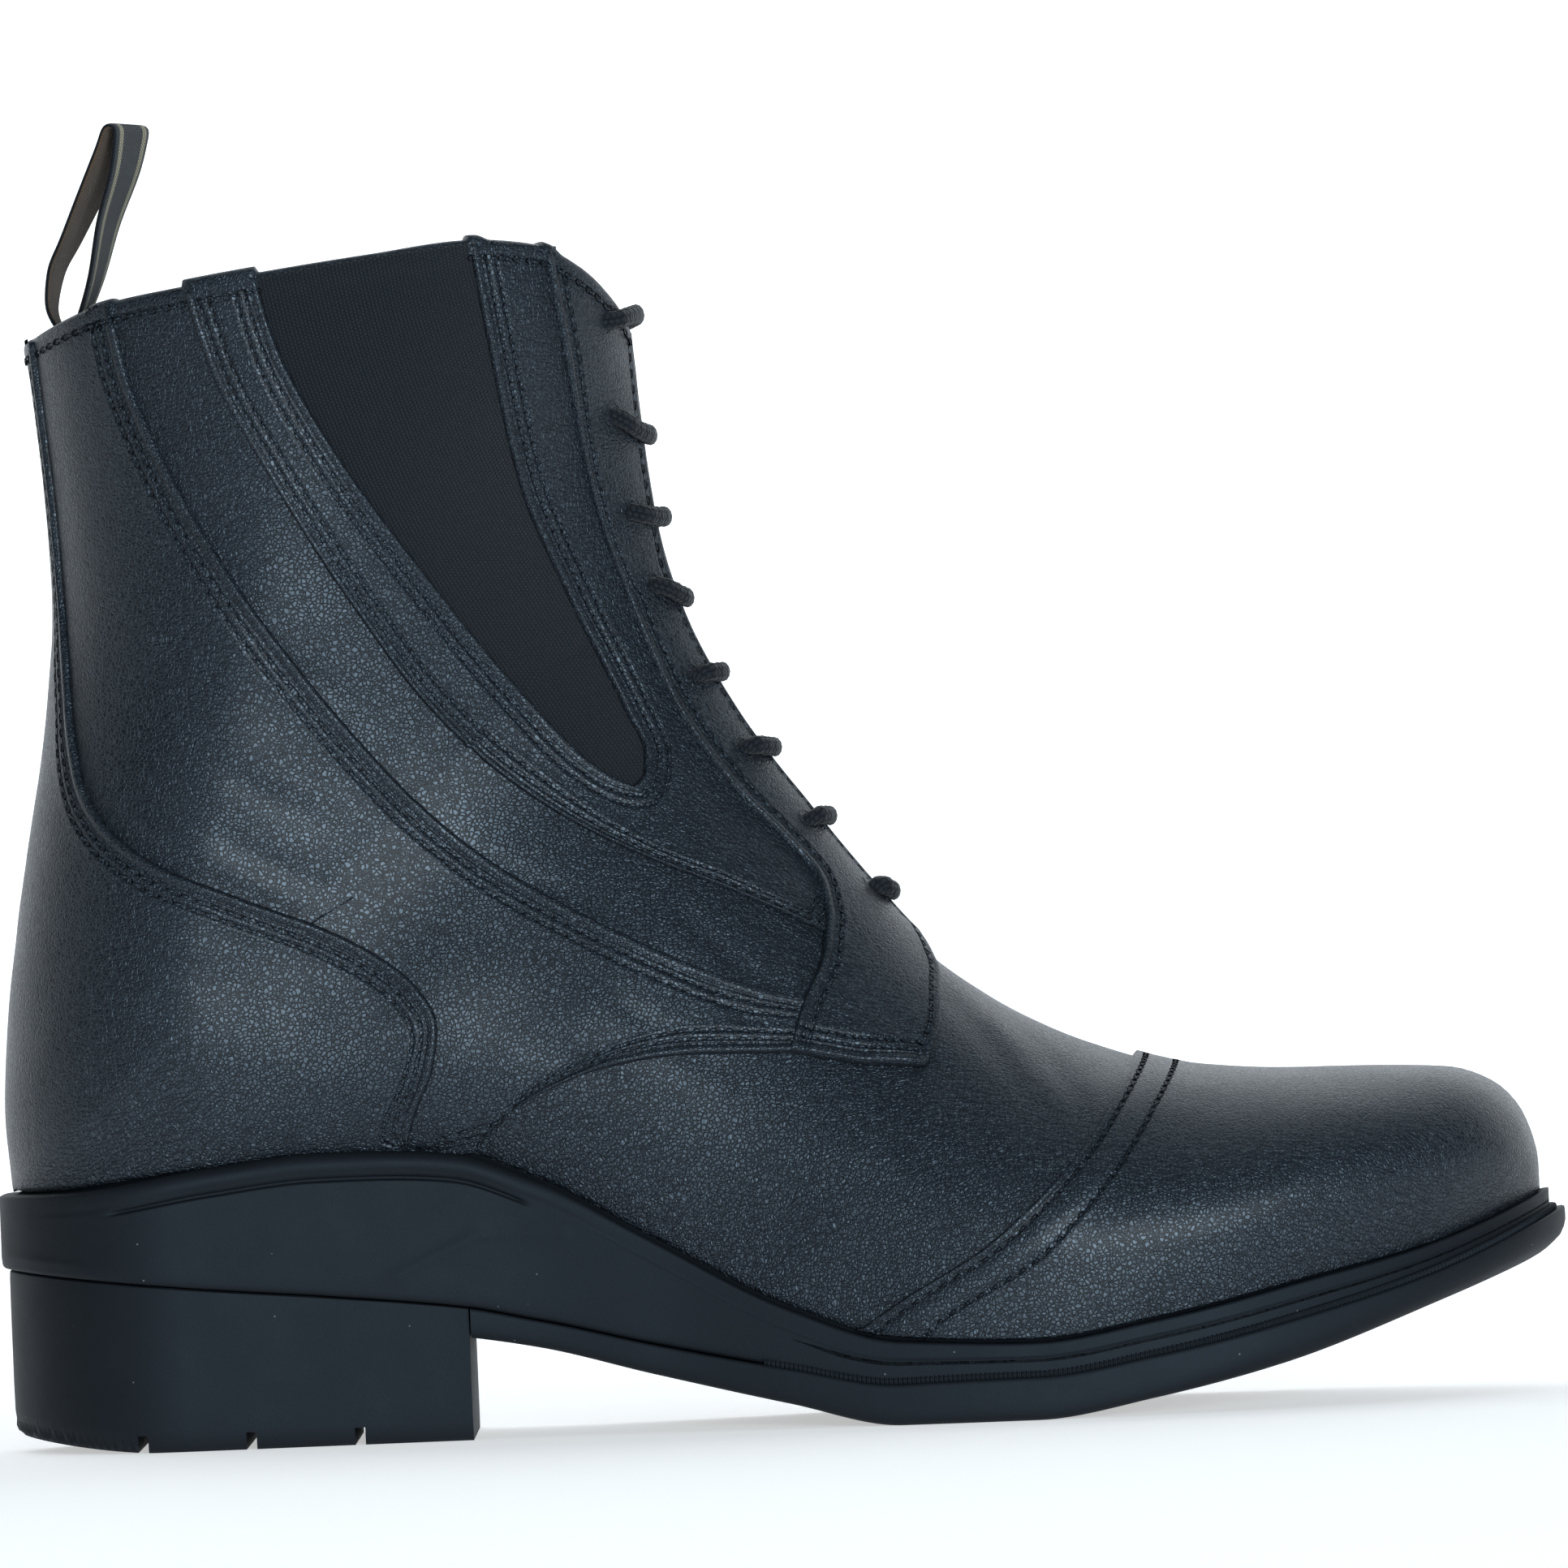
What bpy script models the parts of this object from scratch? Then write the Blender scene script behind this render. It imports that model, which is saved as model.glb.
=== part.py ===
"""A right paddock boot: a lace-up ankle boot with elastic side gores on a moulded heeled sole.

Metres, +Z up, +X towards the toe, +Y towards the inner side of the foot. The boot stands on the floor
at Z = 0 with the middle of its footprint at the origin.

The upper is one function: a fan of sections that starts upright across the toe, leans back over the
instep to the heel seat and lies level at the collar. A place on it is (along, around): along is 0 at the
toe tip and 1 above the collar, around is 0 on the top line and -1 or +1 at the sole or the back seam of
the outer or inner side. Every panel, the tongue and the laces are read from that function.
"""

import math
from collections import namedtuple

import bmesh
import bpy
import numpy as np
from mathutils import Matrix, Vector

# Driving sizes
LENGTH = 0.2892  # outsole, heel to toe tip
BALL_WIDTH = 0.103  # outsole across the ball
HEEL_RADIUS = 0.033  # round of the heel seen from above
TOE_REACH = 0.078  # length of the rounded toe seen from above
INSTEP_HEIGHT = 0.0843  # floor to the foot of the lacing
COLLAR_HEIGHT = 0.2184  # floor to the highest point of the collar
HEEL_LIFT = 0.0191  # floor to the shank just in front of the heel
TOE_SPRING = 0.0268  # floor to the underside of the toe tip
OUTSOLE_THICKNESS = 0.0074
WALL_HEIGHT = 0.0278  # side wall of the midsole at its highest, above the arch
HEEL_LENGTH = 0.0864  # heel block, back to breast
WALL = 0.0022  # upper leather with its lining
GAP = 0.0003  # between pieces that touch
LAID_GAP = 0.0007  # between the upper and what is laid on it
SAG_ALLOWED = 0.0002  # how far a flat facet of what is laid on may sink into that gap
STAND_GAP = 0.0008  # between the upper's edge and the rim of the sole
FOOT_GAP = 0.0014  # what is laid on the upper stops this far above its edge
SEAM_GAP = 0.0004  # each panel stops this far from its seam

# Ledges of the sole outside the upper, and the rim that the upper stands on
TOE_LEDGE = 0.0062
SIDE_LEDGE = 0.0044
HEEL_LEDGE = 0.0048
RIM_WIDTH = 0.0036
RIM_FALL = 0.0009  # the rim slopes inward by this much

# Side wall of the sole
WELT_STEP = 0.0016  # how far the midsole stands back from the outsole at the forefoot
TOE_STEP = 0.0029  # the same at the toe tip
GROOVE_DROP = 0.0045  # groove under the ridge of the arch, below the rim
GROOVE_DEPTH = 0.0011
GROOVE_LIP = 0.0009
RIM_ROUND = 0.0015  # rounding of the midsole's top edge
FOOT_ROUND = 0.0011  # rounding of its bottom edge
TREAD_BEVEL = 0.0026  # bevel under the outsole's edge
HEEL_STEP = 0.0013  # how far the heel block stands back under the midsole
LUG_DEPTH = 0.0032  # cross notches under the heel block
LUG_WIDTH = 0.0019
LUG_STATIONS = (0.30, 0.53, 0.76)  # shares of HEEL_LENGTH, from the back
HEEL_ROLL = 0.0040  # how much the heel block's underside rises at the back
HEEL_ROLL_LENGTH = 0.028

# Thicknesses laid over the upper's own wall
CAP_THICKNESS = 0.0010
REAR_PANEL_THICKNESS = 0.0011
MIDDLE_PANEL_THICKNESS = 0.0008
STRAP_THICKNESS = 0.0013
GORE_THICKNESS = 0.0005
COUNTER_THICKNESS = 0.0015
FACING_THICKNESS = 0.0014

# Throat, tongue and insole
THROAT_HALF_GAP = 0.0056  # from the top line to a lace facing, at the collar
THROAT_FOOT_HALF_GAP = 0.0032  # the same at the foot of the lacing
BACK_STRIP_HALF_WIDTH = 0.0085
THROAT_ROUND = 0.02  # share of the upper along which the throat opens at its foot
TONGUE_THICKNESS = 0.0018
TONGUE_CLEARANCE = 0.0013
TONGUE_HALF_WIDTH = 0.023
TONGUE_TUCK = 0.014  # length hidden under the vamp
TONGUE_BULGE = 0.0022  # how far it swells into the throat
SWELL_START = 0.03  # share of the upper along which the swelling sets in
TONGUE_DROP = 0.006  # its end below the top of the facings
TONGUE_TOP_AROUND = 0.1  # where along the collar the top of the facings is read
INSOLE_THICKNESS = 0.0025
INSOLE_MARGIN = 0.0006

# Laces and pull loop
LACE_WIDTH = 0.0034
LACE_THICKNESS = 0.0022
LACE_CLEARANCE = 0.0005
LACE_OVERRUN = 0.0012  # how far a bar reaches past its eyelets
EYELET_RADIUS = 0.0019
LOOP_WIDTH = 0.017
LOOP_THICKNESS = 0.0009
LOOP_RISE = 0.0405  # above the back of the collar
LOOP_LEAN = 0.0135  # forward lean of its top
LOOP_TWIST = math.radians(20)  # how far its top is turned
LOOP_SEWN = 0.012  # length sewn inside the collar
LOOP_CLEARANCE = 0.0015  # from the wall of the upper
LOOP_LEGS_APART = 0.0014

# One row for each station of the sole, heel to toe. station is a share of LENGTH; half and centre are
# shares of BALL_WIDTH; lift, spring, band, wall, step and groove are shares of HEEL_LIFT, TOE_SPRING,
# OUTSOLE_THICKNESS, WALL_HEIGHT, WELT_STEP and GROOVE_DEPTH; bed is the footbed's height as a share of
# the wall.
Station = namedtuple("Station", "station half centre lift spring band wall bed step groove")
SOLE = [
    Station(0.000, 0.330, 0.000, 1.50, 0.00, 0.77, 0.486, 0.70, 0.0, 0.0),
    Station(0.050, 0.330, 0.000, 1.40, 0.00, 0.77, 0.565, 0.70, 0.0, 0.2),
    Station(0.137, 0.330, -0.002, 1.25, 0.00, 0.77, 0.795, 0.59, 0.0, 1.0),
    Station(0.206, 0.326, -0.008, 1.15, 0.00, 0.77, 0.932, 0.48, 0.0, 1.0),
    Station(0.292, 0.316, -0.022, 1.00, 0.00, 0.77, 1.000, 0.38, 0.0, 1.0),
    Station(0.344, 0.312, -0.034, 0.86, 0.00, 0.70, 0.914, 0.39, 0.1, 0.6),
    Station(0.414, 0.322, -0.050, 0.57, 0.00, 0.77, 0.683, 0.44, 0.4, 0.0),
    Station(0.500, 0.368, -0.056, 0.24, 0.00, 0.90, 0.385, 0.56, 0.8, 0.0),
    Station(0.570, 0.418, -0.046, 0.00, 0.00, 1.05, 0.270, 0.62, 1.0, 0.0),
    Station(0.655, 0.468, -0.020, 0.00, 0.00, 1.10, 0.215, 0.60, 1.0, 0.0),
    Station(0.730, 0.492, 0.012, 0.00, 0.12, 1.07, 0.218, 0.60, 1.0, 0.0),
    Station(0.811, 0.496, 0.036, 0.00, 0.31, 1.03, 0.222, 0.60, 1.0, 0.0),
    Station(0.915, 0.496, 0.060, 0.00, 0.68, 0.80, 0.180, 0.60, 1.0, 0.0),
    Station(1.000, 0.496, 0.078, 0.00, 1.00, 0.97, 0.155, 0.60, 1.0, 0.0),
]

# The top line of the upper in side view, toe tip to collar: fore is a share of LENGTH from the heel, and
# level runs from 0 at the floor to 1 at INSTEP_HEIGHT and on to 2 at COLLAR_HEIGHT.
Point = namedtuple("Point", "fore level")
TOP_LINE = [
    Point(0.9800, 0.430),
    Point(0.9798, 0.500),
    Point(0.9730, 0.592),
    Point(0.9560, 0.662),
    Point(0.9290, 0.698),
    Point(0.8960, 0.706),
    Point(0.8300, 0.711),
    Point(0.7700, 0.728),
    Point(0.7000, 0.798),
    Point(0.6450, 0.892),
    Point(0.5980, 1.006),
    Point(0.5610, 1.100),
    Point(0.5285, 1.193),
    Point(0.4795, 1.350),
    Point(0.4518, 1.473),
    Point(0.4368, 1.580),
    Point(0.4285, 1.690),
    Point(0.4225, 1.815),
    Point(0.4185, 1.930),
    Point(0.4175, 2.030),
]

# The back seam, heel seat to collar: fore as above, rise from 0 at the seat to 1 at COLLAR_HEIGHT.
Back = namedtuple("Back", "fore rise")
BACK_LINE = [
    Back(0.0166, 0.000),
    Back(0.0135, 0.080),
    Back(0.0172, 0.165),
    Back(0.0275, 0.290),
    Back(0.0400, 0.410),
    Back(0.0510, 0.520),
    Back(0.0575, 0.640),
    Back(0.0560, 0.740),
    Back(0.0510, 0.850),
    Back(0.0455, 0.930),
    Back(0.0430, 1.030),
]

# The fan of sections, toe to collar. foot is where a section ends below: 0 to 1 along the sole from toe
# to heel, 1 to 2 up the back seam. head is its share of the top line. body is the half width as a share
# of BALL_WIDTH, ridge the sideways place of the top line likewise, girth the height of the widest point
# as a share of the section, square its roundness, where 2 is an ellipse and more is boxier.
Section = namedtuple("Section", "foot head body ridge girth square")
SECTIONS = [
    Section(0.002, 0.000, 0.000, 0.078, 0.36, 2.00),
    Section(0.011, 0.022, 0.120, 0.075, 0.36, 2.05),
    Section(0.036, 0.052, 0.220, 0.073, 0.36, 2.15),
    Section(0.076, 0.086, 0.300, 0.070, 0.35, 2.30),
    Section(0.130, 0.140, 0.370, 0.064, 0.33, 2.35),
    Section(0.195, 0.205, 0.420, 0.056, 0.30, 2.30),
    Section(0.267, 0.275, 0.445, 0.046, 0.28, 2.20),
    Section(0.345, 0.348, 0.450, 0.037, 0.28, 2.10),
    Section(0.424, 0.412, 0.432, 0.030, 0.29, 2.00),
    Section(0.502, 0.468, 0.400, 0.024, 0.30, 1.90),
    Section(0.584, 0.523, 0.370, 0.018, 0.30, 1.85),
    Section(0.673, 0.577, 0.350, 0.012, 0.29, 1.85),
    Section(0.766, 0.628, 0.335, 0.007, 0.27, 1.85),
    Section(0.855, 0.672, 0.328, 0.003, 0.255, 1.87),
    Section(0.930, 0.713, 0.325, 0.001, 0.25, 1.90),
    Section(0.980, 0.750, 0.325, 0.000, 0.26, 1.92),
    Section(1.000, 0.778, 0.326, 0.000, 0.275, 1.95),
    Section(1.047, 0.803, 0.328, 0.000, 0.29, 1.97),
    Section(1.133, 0.829, 0.330, 0.000, 0.315, 2.00),
    Section(1.242, 0.854, 0.334, 0.000, 0.35, 2.00),
    Section(1.368, 0.879, 0.342, 0.000, 0.385, 2.00),
    Section(1.495, 0.902, 0.354, 0.000, 0.42, 2.00),
    Section(1.621, 0.925, 0.369, 0.000, 0.45, 2.00),
    Section(1.747, 0.948, 0.383, 0.000, 0.47, 2.00),
    Section(1.874, 0.972, 0.393, 0.000, 0.48, 2.00),
    Section(2.000, 1.000, 0.397, 0.000, 0.48, 2.00),
]

# Seams in side view, each from the collar or the top line downwards.
COLLAR_LINE = [
    Point(0.030, 1.870),
    Point(0.055, 1.903),
    Point(0.095, 1.935),
    Point(0.145, 1.952),
    Point(0.200, 1.968),
    Point(0.265, 1.985),
    Point(0.330, 2.000),
    Point(0.365, 1.993),
    Point(0.389, 1.965),
    Point(0.407, 1.925),
    Point(0.419, 1.870),
    Point(0.425, 1.780),
]
COUNTER_SEAM = [
    Point(0.0480, 1.990),
    Point(0.0540, 1.743),
    Point(0.0600, 1.586),
    Point(0.0650, 1.451),
    Point(0.0670, 1.361),
    Point(0.0710, 1.294),
    Point(0.0830, 1.236),
    Point(0.1130, 1.176),
    Point(0.1640, 1.125),
    Point(0.2150, 1.079),
    Point(0.2500, 1.037),
    Point(0.2753, 0.983),
    Point(0.2870, 0.902),
    Point(0.2835, 0.814),
    Point(0.2720, 0.726),
    Point(0.2600, 0.600),
]
REAR_SEAM = [
    Point(0.0955, 2.015),
    Point(0.1093, 1.850),
    Point(0.1310, 1.725),
    Point(0.1719, 1.553),
    Point(0.2109, 1.426),
    Point(0.2455, 1.328),
    Point(0.2801, 1.242),
    Point(0.3202, 1.165),
    Point(0.3707, 1.093),
    Point(0.4215, 1.033),
    Point(0.4723, 0.973),
    Point(0.5140, 0.926),
]
MIDDLE_SEAM = [
    Point(0.1408, 2.015),
    Point(0.1622, 1.846),
    Point(0.1954, 1.697),
    Point(0.2244, 1.582),
    Point(0.2438, 1.513),
    Point(0.2828, 1.386),
    Point(0.3226, 1.293),
    Point(0.3728, 1.210),
    Point(0.4236, 1.150),
    Point(0.4744, 1.101),
    Point(0.5290, 1.042),
]
GORE_BACK_SEAM = [
    Point(0.1880, 2.015),
    Point(0.2040, 1.875),
    Point(0.2376, 1.726),
    Point(0.2863, 1.565),
    Point(0.3454, 1.392),
    Point(0.3949, 1.276),
    Point(0.4140, 1.250),
]
GORE_FRONT_SEAM = [
    Point(0.3248, 2.015),
    Point(0.3340, 1.875),
    Point(0.3506, 1.671),
    Point(0.3786, 1.512),
    Point(0.4118, 1.353),
    Point(0.4225, 1.295),
    Point(0.4215, 1.262),
]
FACING_SEAM = [
    Point(0.3680, 2.015),
    Point(0.3800, 1.837),
    Point(0.3921, 1.667),
    Point(0.4149, 1.498),
    Point(0.4429, 1.350),
    Point(0.4772, 1.235),
    Point(0.5069, 1.165),
    Point(0.5266, 1.107),
    Point(0.5318, 1.062),
]
FACING_FOOT_SEAM = [
    Point(0.5318, 1.062),
    Point(0.5295, 1.010),
    Point(0.5156, 0.905),
    Point(0.5070, 0.812),
]
FACING_FRONT = [
    Point(0.5885, 1.025),
    Point(0.5965, 0.995),
    Point(0.6025, 0.945),
    Point(0.6030, 0.860),
    Point(0.5945, 0.765),
]
DERBY_SEAM = [
    Point(0.3005, 0.600),
    Point(0.3240, 0.692),
    Point(0.3555, 0.753),
    Point(0.3921, 0.795),
    Point(0.4443, 0.815),
    Point(0.5050, 0.809),
]
CAP_SEAM = [
    Point(0.7330, 0.790),
    Point(0.7127, 0.681),
    Point(0.6905, 0.577),
    Point(0.6580, 0.466),
    Point(0.6207, 0.364),
    Point(0.5781, 0.281),
    Point(0.5410, 0.200),
]

# One row for each bar of the lace, from the top: its eyelet, and how far it hangs below the eyelet where
# it crosses the top line, as a share of LACE_WIDTH.
Bar = namedtuple("Bar", "fore level drop")
BARS = [
    Bar(0.4040, 1.890, -0.45),
    Bar(0.4070, 1.765, 1.35),
    Bar(0.4150, 1.630, 0.45),
    Bar(0.4274, 1.528, 1.35),
    Bar(0.4519, 1.396, 0.10),
    Bar(0.4813, 1.292, 0.40),
    Bar(0.5204, 1.188, 0.15),
    Bar(0.5590, 1.092, 0.80),
]

# The pull loop in side view, from the back of the collar: fore is a share of LOOP_LEAN and rise of
# LOOP_RISE.
Fold = namedtuple("Fold", "fore rise")
LOOP = [
    Fold(0.00, 0.02),
    Fold(-0.16, 0.15),
    Fold(-0.08, 0.32),
    Fold(0.12, 0.45),
    Fold(0.42, 0.65),
    Fold(0.80, 0.90),
    Fold(0.92, 0.98),
    Fold(1.04, 0.97),
    Fold(0.96, 0.82),
    Fold(0.66, 0.53),
    Fold(0.46, 0.28),
    Fold(0.22, 0.08),
]

# Colours: red, green, blue, roughness
BLACK_LEATHER = ("black_leather", (0.020, 0.023, 0.027), 0.42)
BLACK_ELASTIC = ("black_elastic", (0.016, 0.018, 0.024), 0.85)
BLACK_RUBBER = ("black_rubber", (0.018, 0.020, 0.023), 0.70)
BLACK_CORD = ("black_cord", (0.014, 0.016, 0.018), 0.80)
TEXTILE = ("textile", (0.030, 0.034, 0.042), 0.85)
FOOTBED = ("footbed", (0.030, 0.030, 0.032), 0.80)

# Fineness of the shapes
VAMP_ROWS = 11
WAIST_ROWS = 10
SHAFT_ROWS = 8
UPPER_COLUMNS = 10  # on each side
FOOT_CROWDING = 0.5  # how much the panels' columns crowd to the sole
EDGE_CROWDING = 0.6  # how much the upper's columns crowd to the top line and the sole
CAP_ROWS = 9
CAP_SEAM_POINTS = 12  # along the cap's rear edge
REAR_COLUMNS = 5
MIDDLE_COLUMNS = 2
STRAP_COLUMNS = 3
GORE_COLUMNS = 3
FACING_COLUMNS = 3
CAP_COLUMNS = 18
CAP_CROWDING = 1.15  # how much the cap's rows crowd to the toe tip
BACK_ROWS = 14  # of the panels behind the gore
FRONT_ROWS = 10  # of the panels in front of it
GORE_ROWS = 11
TAB_ROWS = 4
DERBY_ROWS = 7
COUNTER_COLUMNS = 6
COUNTER_SEAT_ROWS = 7
COUNTER_BACK_ROWS = 12
COUNTER_CROWDING = 0.85  # how much its rows crowd to the sole
REAR_CROWDING = 0.65  # how much the rear panel's rows crowd to the toe, along its front seam
MIDDLE_CROWDING = 0.85  # the same for the panel in front of it
TONGUE_ROWS = 11
TONGUE_COLUMNS = (-1, -0.62, -0.32, -0.16, 0, 0.16, 0.32, 0.62, 1)
SOLE_ROWS = 26
HEEL_ROWS = 16
LACE_STEPS = 6
LACE_SIDES = 6
LOOP_STEPS = 24
EYELET_SIDES = 6
FAN_ROWS = 251
FAN_COLUMNS = 81
SECTION_POINTS = 120
FINE_POINTS = 240  # on a seam before it is spaced out
TAB_JOIN = 0.004  # gap in share of height between the tab's front and the facing's edge above it
SOFT_MAXIMUM = 30  # how sharply the wider of sole and body sets a section's width
LEAST_SWELL = 0.012  # a section is wider than its foot by at least this share of it
SWELL_SLOPE = 0.03  # or by this share of its height where that is less
MERGE_DISTANCE = 2e-6


def smooth_curve(places, values, at):
    """A smooth curve through the values that never overshoots them."""
    places = np.asarray(places, float)
    values = np.asarray(values, float)
    at = np.clip(np.asarray(at, float), places[0], places[-1])
    steps = np.diff(places)
    grades = np.diff(values) / steps
    slopes = np.zeros(len(values))
    slopes[0], slopes[-1] = grades[0], grades[-1]
    for i in range(1, len(values) - 1):
        before, after = grades[i - 1], grades[i]
        if before * after > 0:
            early, late = 2 * steps[i] + steps[i - 1], steps[i] + 2 * steps[i - 1]
            slopes[i] = (early + late) / (early / before + late / after)
    i = np.clip(np.searchsorted(places, at) - 1, 0, len(steps) - 1)
    t = (at - places[i]) / steps[i]
    return (
        values[i] * (1 + 2 * t) * (1 - t) ** 2
        + values[i + 1] * t**2 * (3 - 2 * t)
        + steps[i] * t * (1 - t) * (slopes[i] * (1 - t) - slopes[i + 1] * t)
    )


def column(table, name):
    return np.array([getattr(row, name) for row in table])


def fore(share):
    """A share of the length, from the heel, as an X."""
    return (np.asarray(share, float) - 0.5) * LENGTH


def height(level):
    """A level as a Z: 0 floor, 1 foot of the lacing, 2 collar."""
    level = np.asarray(level, float)
    above = np.maximum(level - 1, 0) * (COLLAR_HEIGHT - INSTEP_HEIGHT)
    return np.minimum(level, 1) * INSTEP_HEIGHT + above


def path(points, count):
    """Evenly spaced points of the smooth curve through side view points, as X and Z."""
    x, z = fore(column(points, "fore")), height(column(points, "level"))
    run = np.concatenate([[0], np.cumsum(np.hypot(np.diff(x), np.diff(z)))])
    at = np.linspace(0, run[-1], count)
    return smooth_curve(run, x, at), smooth_curve(run, z, at)


# The sole's own lines


def sole_value(x, name):
    return smooth_curve(column(SOLE, "station"), column(SOLE, name), np.asarray(x) / LENGTH + 0.5)


def ground_line(x):
    return sole_value(x, "lift") * HEEL_LIFT + sole_value(x, "spring") * TOE_SPRING


def joint_line(x):
    """The line between the midsole and the outsole or the heel block."""
    return ground_line(x) + sole_value(x, "band") * OUTSOLE_THICKNESS


def rim_line(x):
    """The top edge of the midsole."""
    return joint_line(x) + sole_value(x, "wall") * WALL_HEIGHT


def bed_line(x):
    """The footbed inside the midsole."""
    return joint_line(x) + sole_value(x, "bed") * sole_value(x, "wall") * WALL_HEIGHT


def rounded_end(distance, reach, power):
    """Share of the full width at a distance from a rounded end."""
    t = np.clip(1 - distance / reach, 0, 1)
    return (1 - t**power) ** (1 / power)


def outline(x, back, side, front):
    """Half width of the footprint at x, inset by these amounts at the heel, the sides and the toe."""
    half = sole_value(x, "half") * BALL_WIDTH - side
    heel = rounded_end(x + LENGTH / 2 - back, HEEL_RADIUS, 2.0)
    toe = rounded_end(LENGTH / 2 - front - x, TOE_REACH, 2.1)
    return half * heel * toe


def centre_line(x):
    return sole_value(x, "centre") * BALL_WIDTH


def sideways_middle():
    """Half way between the outermost points of the two sides."""
    x = np.linspace(-LENGTH / 2, LENGTH / 2, 400)
    half = outline(x, 0, 0, 0)
    return ((centre_line(x) + half).max() + (centre_line(x) - half).min()) / 2


MIDDLE = sideways_middle()


# The upper's own function


def back_seam(rise):
    seat = rim_line(fore(BACK_LINE[0].fore)) + STAND_GAP
    x = smooth_curve(column(BACK_LINE, "rise"), fore(column(BACK_LINE, "fore")), rise)
    return x, seat + rise * (COLLAR_HEIGHT - seat)


def fan():
    """The upper as a fine grid of points, (rows, columns, 3); columns run from the outer side's foot
    over the top line to the inner side's foot."""
    order = np.arange(len(SECTIONS))
    at = np.linspace(0, order[-1], FAN_ROWS)
    values = {name: smooth_curve(order, column(SECTIONS, name), at) for name in Section._fields}
    top_x, top_z = path(TOP_LINE, 400)
    share = np.linspace(0, 1, 400)
    head_x = np.interp(values["head"], share, top_x)
    head_z = np.interp(values["head"], share, top_z)
    toe_x = fore(TOP_LINE[0].fore)
    heel_x = fore(BACK_LINE[0].fore)
    on_sole = values["foot"] <= 1
    sole_x = toe_x + np.minimum(values["foot"], 1) * (heel_x - toe_x)
    seam_x, seam_z = back_seam(np.clip(values["foot"] - 1, 0, 1) * BACK_LINE[-1].rise)
    foot_x = np.where(on_sole, sole_x, seam_x)
    foot_z = np.where(on_sole, rim_line(sole_x) + STAND_GAP, seam_z)
    head_x[0], head_z[0] = foot_x[0], foot_z[0]
    grid = np.zeros((FAN_ROWS, 2 * FAN_COLUMNS - 1, 3))
    for row in range(FAN_ROWS):
        ridge = values["ridge"][row] * BALL_WIDTH
        for side in (-1, 1):
            heel = heel_x + LENGTH / 2
            half = outline(foot_x[row], heel, SIDE_LEDGE, LENGTH / 2 - toe_x)
            foot_y = (centre_line(foot_x[row]) - ridge) * side + half if on_sole[row] else 0.0
            foot_y = max(foot_y, 0.0)
            body = values["body"][row] * BALL_WIDTH
            wide = (foot_y**SOFT_MAXIMUM + body**SOFT_MAXIMUM) ** (1 / SOFT_MAXIMUM)
            tall = math.hypot(head_x[row] - foot_x[row], head_z[row] - foot_z[row])
            wide = max(wide, foot_y + min(LEAST_SWELL * foot_y, SWELL_SLOPE * tall))
            girth, square = values["girth"][row], values["square"][row]
            up = np.linspace(math.pi / 2, 0, SECTION_POINTS)
            turn = math.acos(min(foot_y / wide, 1))
            down = np.linspace(0, turn, SECTION_POINTS // 2)[1:]
            rise = girth + (1 - girth) * np.sin(up) ** (2 / square)
            fall = girth - girth * np.sin(down) / max(math.sin(turn), 1e-6)
            out_up = wide * np.clip(np.cos(up), 0, 1) ** (2 / square)
            along = np.concatenate([rise, fall])
            out = np.concatenate([out_up, wide * np.cos(down)])
            x = foot_x[row] + along * (head_x[row] - foot_x[row])
            z = foot_z[row] + along * (head_z[row] - foot_z[row])
            points = np.stack([x, ridge + side * out, z], axis=1)
            run = np.linalg.norm(np.diff(points, axis=0), axis=1)
            run = np.concatenate([[0], np.cumsum(run)])
            spots = np.linspace(0, run[-1], FAN_COLUMNS)
            line = np.stack([np.interp(spots, run, points[:, k]) for k in range(3)], axis=1)
            if side < 0:
                grid[row, :FAN_COLUMNS] = line[::-1]
            else:
                grid[row, FAN_COLUMNS - 1 :] = line
    grid[:, :, 1] -= MIDDLE
    return grid, np.stack([foot_x, foot_z, head_x, head_z], axis=1)


GRID, FAN_LINES = fan()


def read_grid(grid, along, around):
    """A grid's value at places (along, around)."""
    rows, columns = grid.shape[:2]
    r = np.clip(np.asarray(along, float), 0, 1) * (rows - 1)
    c = (np.clip(np.asarray(around, float), -1, 1) + 1) / 2 * (columns - 1)
    i, j = np.minimum(r.astype(int), rows - 2), np.minimum(c.astype(int), columns - 2)
    r, c = (r - i)[..., None], (c - j)[..., None]
    near = grid[i, j] * (1 - c) + grid[i, j + 1] * c
    far = grid[i + 1, j] * (1 - c) + grid[i + 1, j + 1] * c
    return near * (1 - r) + far * r


def normal_grid():
    across = np.gradient(GRID, axis=1)
    closed = FAN_LINES[:, 0] < fore(0.5)
    closed &= np.arange(FAN_ROWS) >= np.argmin(np.abs(fan_feet() - 1))
    joined = (GRID[closed, 1] - GRID[closed, -2]) / 2
    across[closed, 0] = joined
    across[closed, -1] = joined
    normals = np.cross(across, np.gradient(GRID, axis=0))
    normals[0] = normals[1] * (1, 1, 0)
    return normals / np.maximum(np.linalg.norm(normals, axis=2, keepdims=True), 1e-12)


def fan_feet():
    order = np.arange(len(SECTIONS))
    return smooth_curve(order, column(SECTIONS, "foot"), np.linspace(0, order[-1], FAN_ROWS))


HALF_ROWS = FAN_ROWS // 2
HEEL_PLACE = float(np.interp(1, fan_feet(), np.linspace(0, 1, FAN_ROWS)))
NORMALS = normal_grid()
GIRTHS = np.linalg.norm(np.diff(GRID, axis=1), axis=2).sum(axis=1) / 2


def surface(along, around, offset=0.0):
    """Points of the upper, moved outward by offset."""
    normal = read_grid(NORMALS, along, around)
    normal /= np.maximum(np.linalg.norm(normal, axis=-1, keepdims=True), 1e-12)
    return read_grid(GRID, along, around) + normal * np.asarray(offset)[..., None]


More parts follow.
